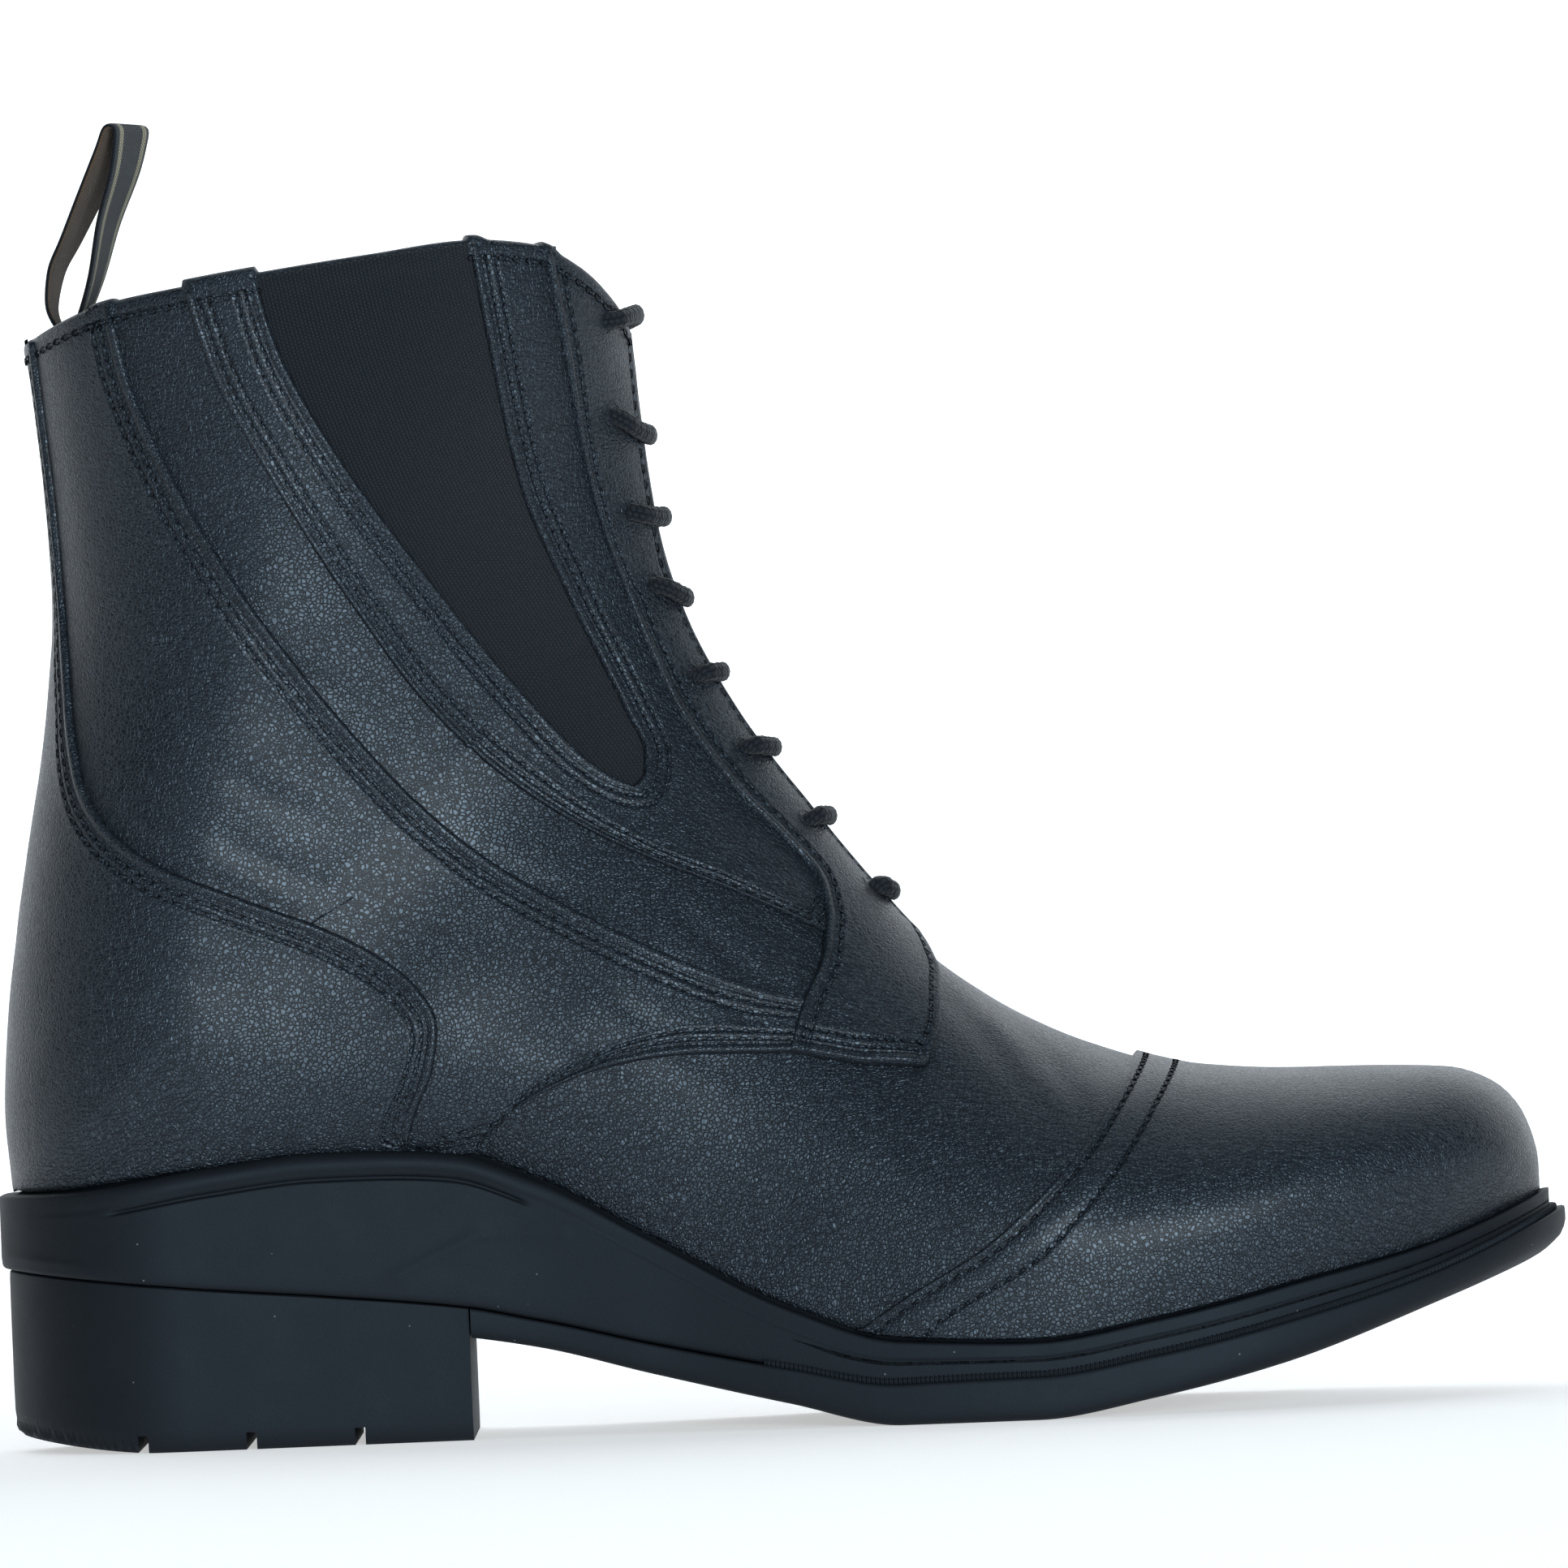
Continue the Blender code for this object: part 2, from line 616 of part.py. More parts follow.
def share_of_girth(along, distance):
    """A distance from the top line, measured round the upper, as an around value."""
    rows = np.linspace(0, 1, FAN_ROWS)
    return distance / np.interp(along, rows, np.maximum(GIRTHS, 1e-4))


def locate(x, z):
    """The places (along, around) that side view points have on the upper, around from 0 to 1."""
    foot, head = FAN_LINES[:, 0:2], FAN_LINES[:, 2:4]
    reach = head - foot
    size = np.maximum((reach**2).sum(axis=1), 1e-10)
    found = []
    for point in np.stack([x, z], axis=1):
        offset = point - foot
        side = reach[:, 0] * offset[:, 1] - reach[:, 1] * offset[:, 0]
        share = (reach * offset).sum(axis=1) / size
        inside = (side[:-1] >= 0) & (side[1:] < 0) & (share[1:] > -0.6) & (share[1:] < 1.6)
        rows = np.nonzero(inside)[0]
        if not len(rows):
            raise ValueError(f"no section of the upper passes through {point}")
        row = rows[0]
        part = side[row] / (side[row] - side[row + 1])
        along = (row + part) / (FAN_ROWS - 1)
        height_share = np.clip(share[row] * (1 - part) + share[row + 1] * part, 0, 1)
        half = read_grid(GRID, np.full(FAN_COLUMNS, along), np.linspace(0, 1, FAN_COLUMNS))
        base = foot[row] * (1 - part) + foot[row + 1] * part
        line = reach[row] * (1 - part) + reach[row + 1] * part
        shares = ((half[:, [0, 2]] - base) @ line) / (line @ line)
        found.append((along, np.interp(-height_share, -shares, np.linspace(0, 1, FAN_COLUMNS))))
    return np.array(found)


def collar_places():
    """For each column of the fan, how far along the collar cuts it."""
    x, z = fore(column(COLLAR_LINE, "fore")), height(column(COLLAR_LINE, "level"))
    ends = []
    for j in range(GRID.shape[1]):
        above = GRID[:, j, 2] - smooth_curve(x, z, GRID[:, j, 0])
        above[: FAN_ROWS // 2] = -1
        row = int(np.argmax(above > 0)) if (above > 0).any() else FAN_ROWS - 1
        part = above[row - 1] / (above[row - 1] - above[row]) if above[row] > 0 else 1.0
        ends.append((row - 1 + part) / (FAN_ROWS - 1))
    return np.array(ends)


COLLAR = collar_places()


def collar(around):
    columns = np.linspace(-1, 1, len(COLLAR))
    return np.interp(around, columns, COLLAR)


def evenly(places, count, power=1.0):
    """A line of places on the upper, spaced out evenly, or ever closer where power is below 1."""
    points = surface(places[:, 0], places[:, 1])
    run = np.concatenate([[0], np.cumsum(np.linalg.norm(np.diff(points, axis=0), axis=1))])
    at = run[-1] * np.linspace(0, 1, count) ** power
    return np.stack([np.interp(at, run, places[:, k]) for k in (0, 1)], axis=1)


def seam(points, count, power=1.0):
    """A seam as evenly spaced places, cut off at the collar."""
    places = locate(*path(points, FINE_POINTS))
    over = places[:, 0] - collar(places[:, 1])
    first = int(np.argmax(over <= 0))
    if first > 0:
        part = over[first - 1] / (over[first - 1] - over[first])
        start = places[first - 1] * (1 - part) + places[first] * part
        places = np.concatenate([start[None], places[first:]])
    return evenly(places, count, power)


def throat_place():
    """How far along the lacing starts."""
    heads = FAN_LINES[:, 3] - height(1.0)
    return float(np.interp(0, heads[FAN_ROWS // 4 :], np.linspace(0, 1, FAN_ROWS)[FAN_ROWS // 4 :]))


THROAT = throat_place()


def throat_edge(along):
    """The lace facing's edge as an around value: nothing before the throat, then a rounded start."""
    along = np.asarray(along, float)
    start = np.clip((along - THROAT) / THROAT_ROUND, 0, 1)
    gap = THROAT_FOOT_HALF_GAP + (THROAT_HALF_GAP - THROAT_FOOT_HALF_GAP) * np.clip(
        (along - THROAT) / (1 - THROAT), 0, 1
    )
    return share_of_girth(along, gap * np.sqrt(start))


# Mesh helpers

BOOT = bpy.data.collections.new("paddock_boot")
CUTTERS = bpy.data.collections.new("cutters")


def material(kind):
    name, colour, roughness = kind
    made = bpy.data.materials.get(name) or bpy.data.materials.new(name)
    made.use_nodes = True
    shader = made.node_tree.nodes["Principled BSDF"]
    shader.inputs["Base Color"].default_value = (*colour, 1)
    shader.inputs["Roughness"].default_value = roughness
    return made


def add_object(name, bm, kind, collection):
    """Makes an object of the mesh, with the points that coincide merged."""
    bmesh.ops.remove_doubles(bm, verts=bm.verts, dist=MERGE_DISTANCE)
    bmesh.ops.dissolve_degenerate(bm, edges=bm.edges, dist=MERGE_DISTANCE / 2)
    bmesh.ops.recalc_face_normals(bm, faces=bm.faces)
    mesh = bpy.data.meshes.new(name)
    bm.to_mesh(mesh)
    bm.free()
    mesh.shade_smooth()
    mesh.set_sharp_from_angle(angle=math.radians(40))
    made = bpy.data.objects.new(name, mesh)
    collection.objects.link(made)
    if kind:
        made.data.materials.append(material(kind))
    return made


def add_verts(bm, points):
    return [bm.verts.new(point) for point in points]


def add_strip(bm, one, two):
    """Quads between two rows of vertices."""
    for i in range(len(one) - 1):
        bm.faces.new((one[i], one[i + 1], two[i + 1], two[i]))


def add_rows(bm, rows):
    for one, two in zip(rows[:-1], rows[1:]):
        add_strip(bm, one, two)


def clear_offset(places, offset):
    """The offset for each of a grid of places, raised where the flat facets between them would sink into
    the rounded surface."""
    points = surface(places[..., 0], places[..., 1])
    raised = np.zeros(places.shape[:2])

    def raise_to(cells, corners):
        middle = np.mean([places[corner] for corner in corners], axis=0)
        flat = np.mean([points[corner] for corner in corners], axis=0)
        normal = read_grid(NORMALS, middle[..., 0], middle[..., 1])
        sag = ((surface(middle[..., 0], middle[..., 1]) - flat) * normal).sum(axis=-1)
        for corner in cells:
            raised[corner] = np.maximum(raised[corner], sag)

    front, back, all_of = slice(0, -1), slice(1, None), slice(None)
    square = [(front, front), (front, back), (back, front), (back, back)]
    for corners in (square, [(all_of, front), (all_of, back)], [(front, all_of), (back, all_of)]):
        raise_to(corners, corners)
    return offset + np.maximum(raised - SAG_ALLOWED, 0)


def add_plate(bm, places, low, high, joined=0, pointed=False):
    """A sheet over a grid of places on the upper, between two offsets from its surface. Its last column
    has no wall along the first joined rows, where it meets its other half, and a pointed sheet has none
    along its last row."""
    sheets = []
    for offset in (low, high):
        points = surface(places[..., 0], places[..., 1], np.broadcast_to(offset, places.shape[:2]))
        sheets.append([add_verts(bm, row) for row in points])
        add_rows(bm, sheets[-1])
    under, over = sheets
    add_strip(bm, under[0], over[0])
    if not pointed:
        add_strip(bm, under[-1], over[-1])
    add_strip(bm, [row[0] for row in under], [row[0] for row in over])
    add_strip(bm, [row[-1] for row in under[joined:]], [row[-1] for row in over[joined:]])


def add_laid(bm, places, thickness, joined=0, pointed=False):
    """A sheet laid on the upper."""
    low = clear_offset(places, LAID_GAP)
    if pointed:
        low[-1] = low[-1].max()
    add_plate(bm, places, low, low + thickness, joined, pointed)


def sole_limits():
    """For each row of the fan, the around value where it comes down to FOOT_GAP above its edge."""
    clear = GRID[..., 2] - rim_line(GRID[..., 0]) - STAND_GAP
    share = np.linspace(0, 1, FAN_COLUMNS)
    limits = []
    for row in clear:
        sides = (row[FAN_COLUMNS - 1 :], row[: FAN_COLUMNS][::-1])
        limits.append(min(float(np.interp(-FOOT_GAP, -side, share)) for side in sides))
    return np.array(limits)


LIMITS = sole_limits()
HEEL_ROW = round(HEEL_PLACE * (FAN_ROWS - 1))


def above_sole(places):
    """The same places, kept clear of the sole's rim."""
    limit = np.interp(places[..., 0], np.linspace(0, 1, FAN_ROWS), LIMITS)
    return np.stack([places[..., 0], np.minimum(places[..., 1], limit)], axis=-1)


def crowded(count):
    """Shares from 0 to 1 that lie closer towards 1."""
    share = np.linspace(0, 1, count + 1)
    return (1 - FOOT_CROWDING) * share + FOOT_CROWDING * np.sin(share * math.pi / 2)


def ruled(one, two, columns):
    """A grid of places between two seams, stopping short of both by the seam gap."""
    one, two = above_sole(one), above_sole(two)
    width = np.linalg.norm(surface(*one.T) - surface(*two.T), axis=1)
    margin = np.clip(SEAM_GAP / np.maximum(width, 1e-6), 0, 0.4)[:, None, None]
    share = crowded(columns)[None, :, None]
    share = margin + share * (1 - 2 * margin)
    return one[:, None, :] * (1 - share) + two[:, None, :] * share


def on_side(places, side):
    """The same places on the outer (-1) or inner (+1) side."""
    return places * np.array([1, side])


# The sole

Ring = namedtuple("Ring", "start end back side front level")


def add_stack(bm, rings, rows):
    """A solid of rings, each a footprint between two X, inset at back, side and front, at a level."""
    t = (1 - np.cos(np.linspace(0, math.pi, rows + 1))) / 2
    loops = []
    for ring in rings:
        x = ring.start + (ring.end - ring.start) * t
        half = outline(x, ring.back, ring.side(x), ring.front)
        middle = centre_line(x) - MIDDLE
        z = ring.level(x)
        outer = add_verts(bm, np.stack([x, middle - half, z], axis=1))
        inner = add_verts(bm, np.stack([x, middle + half, z], axis=1))
        loops.append((outer, inner))
    for low, high in zip(loops[:-1], loops[1:]):
        add_strip(bm, low[0], high[0])
        add_strip(bm, low[1], high[1])
        add_strip(bm, (low[0][0], low[1][0]), (high[0][0], high[1][0]))
        add_strip(bm, (low[0][-1], low[1][-1]), (high[0][-1], high[1][-1]))
    for outer, inner in (loops[0], loops[-1]):
        add_strip(bm, outer, inner)


def even(amount):
    return lambda x: np.full_like(x, amount)


def build_midsole():
    """A tray: the rounded side wall with the ridge of the arch, the rim and the footbed."""

    def ring(back, side, front, level):
        start, end = -LENGTH / 2 + back, LENGTH / 2 - TOE_STEP - front
        inset = lambda x: sole_value(x, "step") * WELT_STEP + side
        return Ring(start, end, back, inset, TOE_STEP + front, level)

    def wall(x):
        return rim_line(x) - joint_line(x)

    def at_share(share):
        return lambda x: joint_line(x) + share * wall(x)

    def below_rim(drop):
        return lambda x: rim_line(x) - np.minimum(drop, wall(x) * drop / (2 * GROOVE_DROP))

    rings = [
        ring(FOOT_ROUND, FOOT_ROUND, FOOT_ROUND, joint_line),
        ring(0, 0, 0, at_share(0.12)),
        ring(0, 0, 0, below_rim(GROOVE_DROP + GROOVE_LIP)),
        ring(0, 0, 0, below_rim(GROOVE_DROP)),
        ring(0, 0, 0, below_rim(GROOVE_DROP - GROOVE_LIP)),
        ring(0, 0, 0, below_rim(RIM_ROUND)),
        ring(RIM_ROUND, RIM_ROUND, RIM_ROUND, rim_line),
    ]
    rings[3] = rings[3]._replace(
        side=lambda x: sole_value(x, "step") * WELT_STEP + sole_value(x, "groove") * GROOVE_DEPTH
    )
    for level in (lambda x: rim_line(x) - RIM_FALL, bed_line):
        back, side, front = (ledge + RIM_WIDTH for ledge in (HEEL_LEDGE, SIDE_LEDGE, TOE_LEDGE))
        rings.append(Ring(-LENGTH / 2 + back, LENGTH / 2 - front, back, even(side), front, level))
    bm = bmesh.new()
    add_stack(bm, rings, SOLE_ROWS)
    add_object("midsole", bm, BLACK_RUBBER, BOOT)


def build_outsole():
    """The forefoot and waist under the midsole, from the heel's breast to the toe."""
    start = HEEL_LENGTH - LENGTH / 2 + GAP

    def ring(side, front, share):
        def level(x):
            return ground_line(x) + share * (joint_line(x) - GAP - ground_line(x))

        return Ring(start, LENGTH / 2 - front, 0, even(side), front, level)

    bm = bmesh.new()
    rings = [
        ring(TREAD_BEVEL / 2, 2 * TREAD_BEVEL, 0.0),
        ring(TREAD_BEVEL / 8, TREAD_BEVEL, 0.22),
        ring(0, 0, 0.80),
        ring(TREAD_BEVEL / 4, TREAD_BEVEL / 3, 1.0),
    ]
    add_stack(bm, rings, SOLE_ROWS)
    add_object("outsole", bm, BLACK_RUBBER, BOOT)


def heel_floor(x):
    """The heel block's underside, which rolls up at the back."""
    t = np.clip(1 - (x + LENGTH / 2) / HEEL_ROLL_LENGTH, 0, 1)
    return HEEL_ROLL * t**1.5


def build_heel():
    end = HEEL_LENGTH - LENGTH / 2

    def ring(inset, share):
        def level(x):
            return heel_floor(x) + share * (joint_line(x) - GAP - heel_floor(x))

        return Ring(-LENGTH / 2 + inset, end, inset, even(inset), 0, level)

    bm = bmesh.new()
    rings = [
        ring(2.2 * HEEL_STEP, 0.0),
        ring(HEEL_STEP, 0.10),
        ring(HEEL_STEP, 0.55),
        ring(1.3 * HEEL_STEP, 1.0),
    ]
    add_stack(bm, rings, HEEL_ROWS)
    heel = add_object("heel", bm, BLACK_RUBBER, BOOT)
    cutter_mesh = bmesh.new()
    for share in LUG_STATIONS:
        place = Matrix.Translation((share * HEEL_LENGTH - LENGTH / 2, 0, 0))
        size = Matrix.Diagonal((LUG_WIDTH, 2 * BALL_WIDTH, 2 * LUG_DEPTH, 1))
        bmesh.ops.create_cube(cutter_mesh, size=1, matrix=place @ size)
    cutter = add_cutter("notch_cutter", cutter_mesh)
    cut(heel, cutter)


def build_insole():
    def ring(level):
        back, side, front = (
            ledge + RIM_WIDTH + INSOLE_MARGIN for ledge in (HEEL_LEDGE, SIDE_LEDGE, TOE_LEDGE)
        )
        return Ring(-LENGTH / 2 + back, LENGTH / 2 - front, back, even(side), front, level)

    bm = bmesh.new()
    rings = [ring(lambda x: bed_line(x) + GAP), ring(lambda x: bed_line(x) + GAP + INSOLE_THICKNESS)]
    add_stack(bm, rings, SOLE_ROWS)
    add_object("insole", bm, FOOTBED, BOOT)


# Cuts


def add_cutter(name, bm):
    cutter = add_object(name, bm, None, CUTTERS)
    cutter.hide_render = True
    cutter.display_type = "WIRE"
    return cutter


def cut(obj, cutter):
    made = obj.modifiers.new(cutter.name, "BOOLEAN")
    made.operation = "DIFFERENCE"
    made.solver = "EXACT"
    made.object = cutter


def build_eyelet_cutter(bars):
    """One cylinder through the facing and the wall under it at each eyelet."""
    bm = bmesh.new()
    for eyelet, _ in bars:
        for side in (-1, 1):
            along, around = eyelet[0], eyelet[1] * side
            top = Vector(surface(along, around, LAID_GAP + FACING_THICKNESS + WALL))
            bottom = Vector(surface(along, around, -1.6 * WALL))
            place = (top - bottom).to_track_quat("Z", "Y").to_matrix().to_4x4()
            place.translation = (top + bottom) / 2
            depth = (top - bottom).length
            sizes = dict(segments=EYELET_SIDES, radius1=EYELET_RADIUS, radius2=EYELET_RADIUS, depth=depth)
            bmesh.ops.create_cone(bm, cap_ends=True, matrix=place, **sizes)
    return add_cutter("eyelet_cutter", bm)


# The upper and what is laid on it


def upper_rows():
    """Rows from the toe tip to the start of the throat, along the waist to the heel, and up the shaft."""
    vamp = np.linspace(0, THROAT, VAMP_ROWS + 1)
    waist = np.linspace(THROAT + THROAT_ROUND, HEEL_PLACE, WAIST_ROWS + 1)
    shaft = np.linspace(HEEL_PLACE, 1, SHAFT_ROWS + 1)
    return np.concatenate([vamp, waist, shaft[1:]])


def build_upper(eyelets):
    """The hollow wall: open at the collar, the throat and the sole."""
    spaced = np.linspace(0, 1, UPPER_COLUMNS + 1)
    bm = bmesh.new()
    for side in (-1, 1):
        rows = []
        for part in upper_rows():
            crowding = EDGE_CROWDING * min(part / THROAT, 1)
            share = (1 - crowding) * spaced + crowding * (1 - np.cos(math.pi * spaced)) / 2
            along = np.full(UPPER_COLUMNS + 1, part)
            for _ in range(4):
                edge = throat_edge(along)
                around = edge + (1 - edge) * share
                reach = (collar(around * side) - HEEL_PLACE) / (1 - HEEL_PLACE)
                if part > HEEL_PLACE:
                    along = HEEL_PLACE + (part - HEEL_PLACE) * reach
            rows.append(add_verts(bm, surface(along, around * side)))
        add_rows(bm, rows)
    upper = add_object("upper", bm, BLACK_LEATHER, BOOT)
    wall = upper.modifiers.new("wall", "SOLIDIFY")
    wall.thickness = WALL
    wall.offset = -1
    cut(upper, eyelets)


def build_toe_cap():
    edge = seam(CAP_SEAM, CAP_SEAM_POINTS)
    edge[0, 1], edge[-1, 1] = 0.0, 1.0
    half = crowded(CAP_COLUMNS // 2)
    around = np.concatenate([-half[::-1], half[1:]])
    start = np.interp(np.abs(around), edge[:, 1], edge[:, 0])
    share = np.linspace(0, 1, CAP_ROWS + 1)[:, None]
    tip = float(np.argmax(LIMITS > 0)) / (FAN_ROWS - 1)
    along = tip + (start[None, :] - tip) * (1 - share) ** CAP_CROWDING
    places = np.stack([along, around * above_sole(np.stack([along, np.ones_like(along)], 2))[..., 1]], 2)
    places[-1, :, 1] = 0
    bm = bmesh.new()
    add_laid(bm, places, CAP_THICKNESS, pointed=True)
    add_object("toe_cap", bm, BLACK_LEATHER, BOOT)


def counter_seam():
    """The counter's seam, which runs up beside the back seam as the edge of the back strip."""
    places = seam(COUNTER_SEAM, COUNTER_SEAT_ROWS + COUNTER_BACK_ROWS + 1, COUNTER_CROWDING)
    strip = 1 - share_of_girth(places[:, 0], BACK_STRIP_HALF_WIDTH)
    places[:, 1] = np.where(places[:, 0] > HEEL_PLACE, np.minimum(places[:, 1], strip), places[:, 1])
    return places


def build_counter():
    """The heel counter with its back strip, in one piece round the heel."""
    edge = counter_seam()
    top = min(float(collar(1.0)), float(collar(-1.0)))
    seat = (HEEL_ROW + int(np.argmax(LIMITS[HEEL_ROW:] == 1))) / (FAN_ROWS - 1)
    up_back = np.linspace(top, seat, COUNTER_BACK_ROWS + 1)
    on_seat = np.linspace(seat, edge[-1, 0], COUNTER_SEAT_ROWS + 2)[1:-1]
    back = np.concatenate([up_back, on_seat])
    back = np.stack([back, np.ones_like(back)], axis=1)
    bm = bmesh.new()
    for side in (-1, 1):
        places = ruled(edge, back, COUNTER_COLUMNS)
        places[:, -1] = above_sole(back)
        add_laid(bm, on_side(places, side), COUNTER_THICKNESS, joined=COUNTER_BACK_ROWS)
    add_object("counter", bm, BLACK_LEATHER, BOOT)


def build_side(word, side, eyelets):
    """The panels of one side, from the counter to the lace facing."""

    def lay(name, places, thickness, kind=BLACK_LEATHER):
        bm = bmesh.new()
        add_laid(bm, on_side(places, side), thickness)
        return add_object(f"{name}_{word}", bm, kind, BOOT)

    foot = np.concatenate([counter_seam(), seam(DERBY_SEAM, DERBY_ROWS + 1)])
    places = ruled(seam(REAR_SEAM, len(foot), REAR_CROWDING), foot, REAR_COLUMNS)
    lay("rear_panel", places, REAR_PANEL_THICKNESS)
    middle_seam = seam(MIDDLE_SEAM, BACK_ROWS + 1)
    places = ruled(middle_seam, seam(REAR_SEAM, BACK_ROWS + 1, MIDDLE_CROWDING), MIDDLE_COLUMNS)
    lay("middle_panel", places, MIDDLE_PANEL_THICKNESS)
    gore_back, gore_front = seam(GORE_BACK_SEAM, BACK_ROWS + 1), seam(GORE_FRONT_SEAM, FRONT_ROWS + 1)
    inside = np.concatenate([gore_back, gore_front[::-1]])
    outside = np.concatenate([middle_seam, seam(FACING_SEAM, FRONT_ROWS + 1)[::-1]])
    lay("gore_strap", ruled(inside, outside, STRAP_COLUMNS), STRAP_THICKNESS)
    gore_front, gore_back = seam(GORE_FRONT_SEAM, GORE_ROWS + 1), seam(GORE_BACK_SEAM, GORE_ROWS + 1)
    lay("gore", ruled(gore_front, gore_back, GORE_COLUMNS), GORE_THICKNESS, BLACK_ELASTIC)
    places = ruled(throat_line(side), facing_line(), FACING_COLUMNS)
    facing = lay("facing", places, FACING_THICKNESS)
    cut(facing, eyelets)


def throat_line(side):
    """The lace facing's front edge, from the collar to the foot of its tab."""
    front = seam(FACING_FRONT, TAB_ROWS + 1)
    along = np.linspace(1, front[0, 0] + TAB_JOIN, FINE_POINTS)
    places = np.stack([along, throat_edge(along)], axis=1)
    places = places[along <= collar(places[:, 1] * side)]
    return np.concatenate([evenly(places, FRONT_ROWS + 1), front])


def facing_line():
    return np.concatenate([seam(FACING_SEAM, FRONT_ROWS + 1), seam(FACING_FOOT_SEAM, TAB_ROWS + 1)])


def build_tongue():
    """A sheet under the facings and the end of the vamp, swelling into the throat."""
    heads = FAN_LINES[:, 2]
    rows = np.linspace(0, 1, FAN_ROWS)
    start = np.interp(-(np.interp(THROAT, rows, heads) + TONGUE_TUCK), -heads, rows)
    heights = FAN_LINES[:, 3]
    top = np.interp(collar(TONGUE_TOP_AROUND), rows, heights) - TONGUE_DROP
    end = np.interp(top, heights[HALF_ROWS:], rows[HALF_ROWS:])
    along = np.linspace(start, end, TONGUE_ROWS + 1)
    share = np.array(TONGUE_COLUMNS)
    places = np.zeros((len(along), len(share), 2))
    places[..., 0] = along[:, None]
    places[..., 1] = share_of_girth(along, TONGUE_HALF_WIDTH)[:, None] * share
    edge = throat_edge(along) * np.interp(along, rows, GIRTHS)
    room = np.maximum(edge - LACE_THICKNESS / 2, 1e-5)[:, None]
    swell = TONGUE_BULGE * np.clip(1 - (share * TONGUE_HALF_WIDTH / room) ** 2, 0, 1)
    swell *= np.clip((along - THROAT) / SWELL_START - 1, 0, 1)[:, None]
    high = -WALL - TONGUE_CLEARANCE + swell
    bm = bmesh.new()
    add_plate(bm, places, high - TONGUE_THICKNESS, high)
    add_object("tongue", bm, TEXTILE, BOOT)


# Lace and pull loop


def bar_places():
    """For each bar of the lace, its eyelet and where it crosses the top line, as places."""
    bars = []
    heads_x, heads_z = FAN_LINES[:, 2], FAN_LINES[:, 3]
    half = FAN_ROWS // 3
    for bar in BARS:
        x, z = fore(bar.fore), height(bar.level)
        eyelet = locate(np.array([x]), np.array([z]))[0]
        top = np.interp(z - bar.drop * LACE_WIDTH, heads_z[half:], np.linspace(0, 1, FAN_ROWS)[half:])
        bars.append((eyelet, float(top)))
    return bars


def add_tube(bm, centres, ups, width, thickness, sides):
    """An oval tube along centres, flat across its ups."""
    runs = np.gradient(centres, axis=0)
    across = np.cross(runs, ups)
    across /= np.linalg.norm(across, axis=1, keepdims=True)
    ups = np.cross(across, runs)
    ups /= np.linalg.norm(ups, axis=1, keepdims=True)
    turn = np.linspace(0, 2 * math.pi, sides, endpoint=False)
    rings = []
    for centre, side, up in zip(centres, across, ups):
        points = [centre + side * math.cos(a) * width / 2 + up * math.sin(a) * thickness / 2 for a in turn]
        rings.append(add_verts(bm, points))
    for one, two in zip(rings[:-1], rings[1:]):
        add_strip(bm, one + one[:1], two + two[:1])
    bm.faces.new(rings[0])
    bm.faces.new(rings[-1])


def build_lace(bars):
    share = np.linspace(-1, 1, LACE_STEPS + 1)
    lift = LAID_GAP + FACING_THICKNESS + LACE_CLEARANCE + LACE_THICKNESS / 2
    rows = np.linspace(0, 1, FAN_ROWS)
    for number, (eyelet, top) in enumerate(bars, 1):
        reach = eyelet[1] + share_of_girth(eyelet[0], LACE_OVERRUN)
        along = top + (eyelet[0] - top) * share**2
        around = reach * share
        centres = surface(along, around, lift)
        edge = float(throat_edge(top))
        inside = np.abs(around) < edge
        beside = top + (eyelet[0] - top) * (edge / reach) ** 2
        ends = surface(np.array([beside, beside]), np.array([-edge, edge]), lift)
        straight = (around / edge + 1) / 2
        centres[inside] = (ends[0] + (ends[1] - ends[0]) * straight[:, None])[inside]
        bm = bmesh.new()
        add_tube(bm, centres, read_grid(NORMALS, along, around), LACE_WIDTH, LACE_THICKNESS, LACE_SIDES)
        add_object(f"lace_bar_{number}", bm, BLACK_CORD, BOOT)


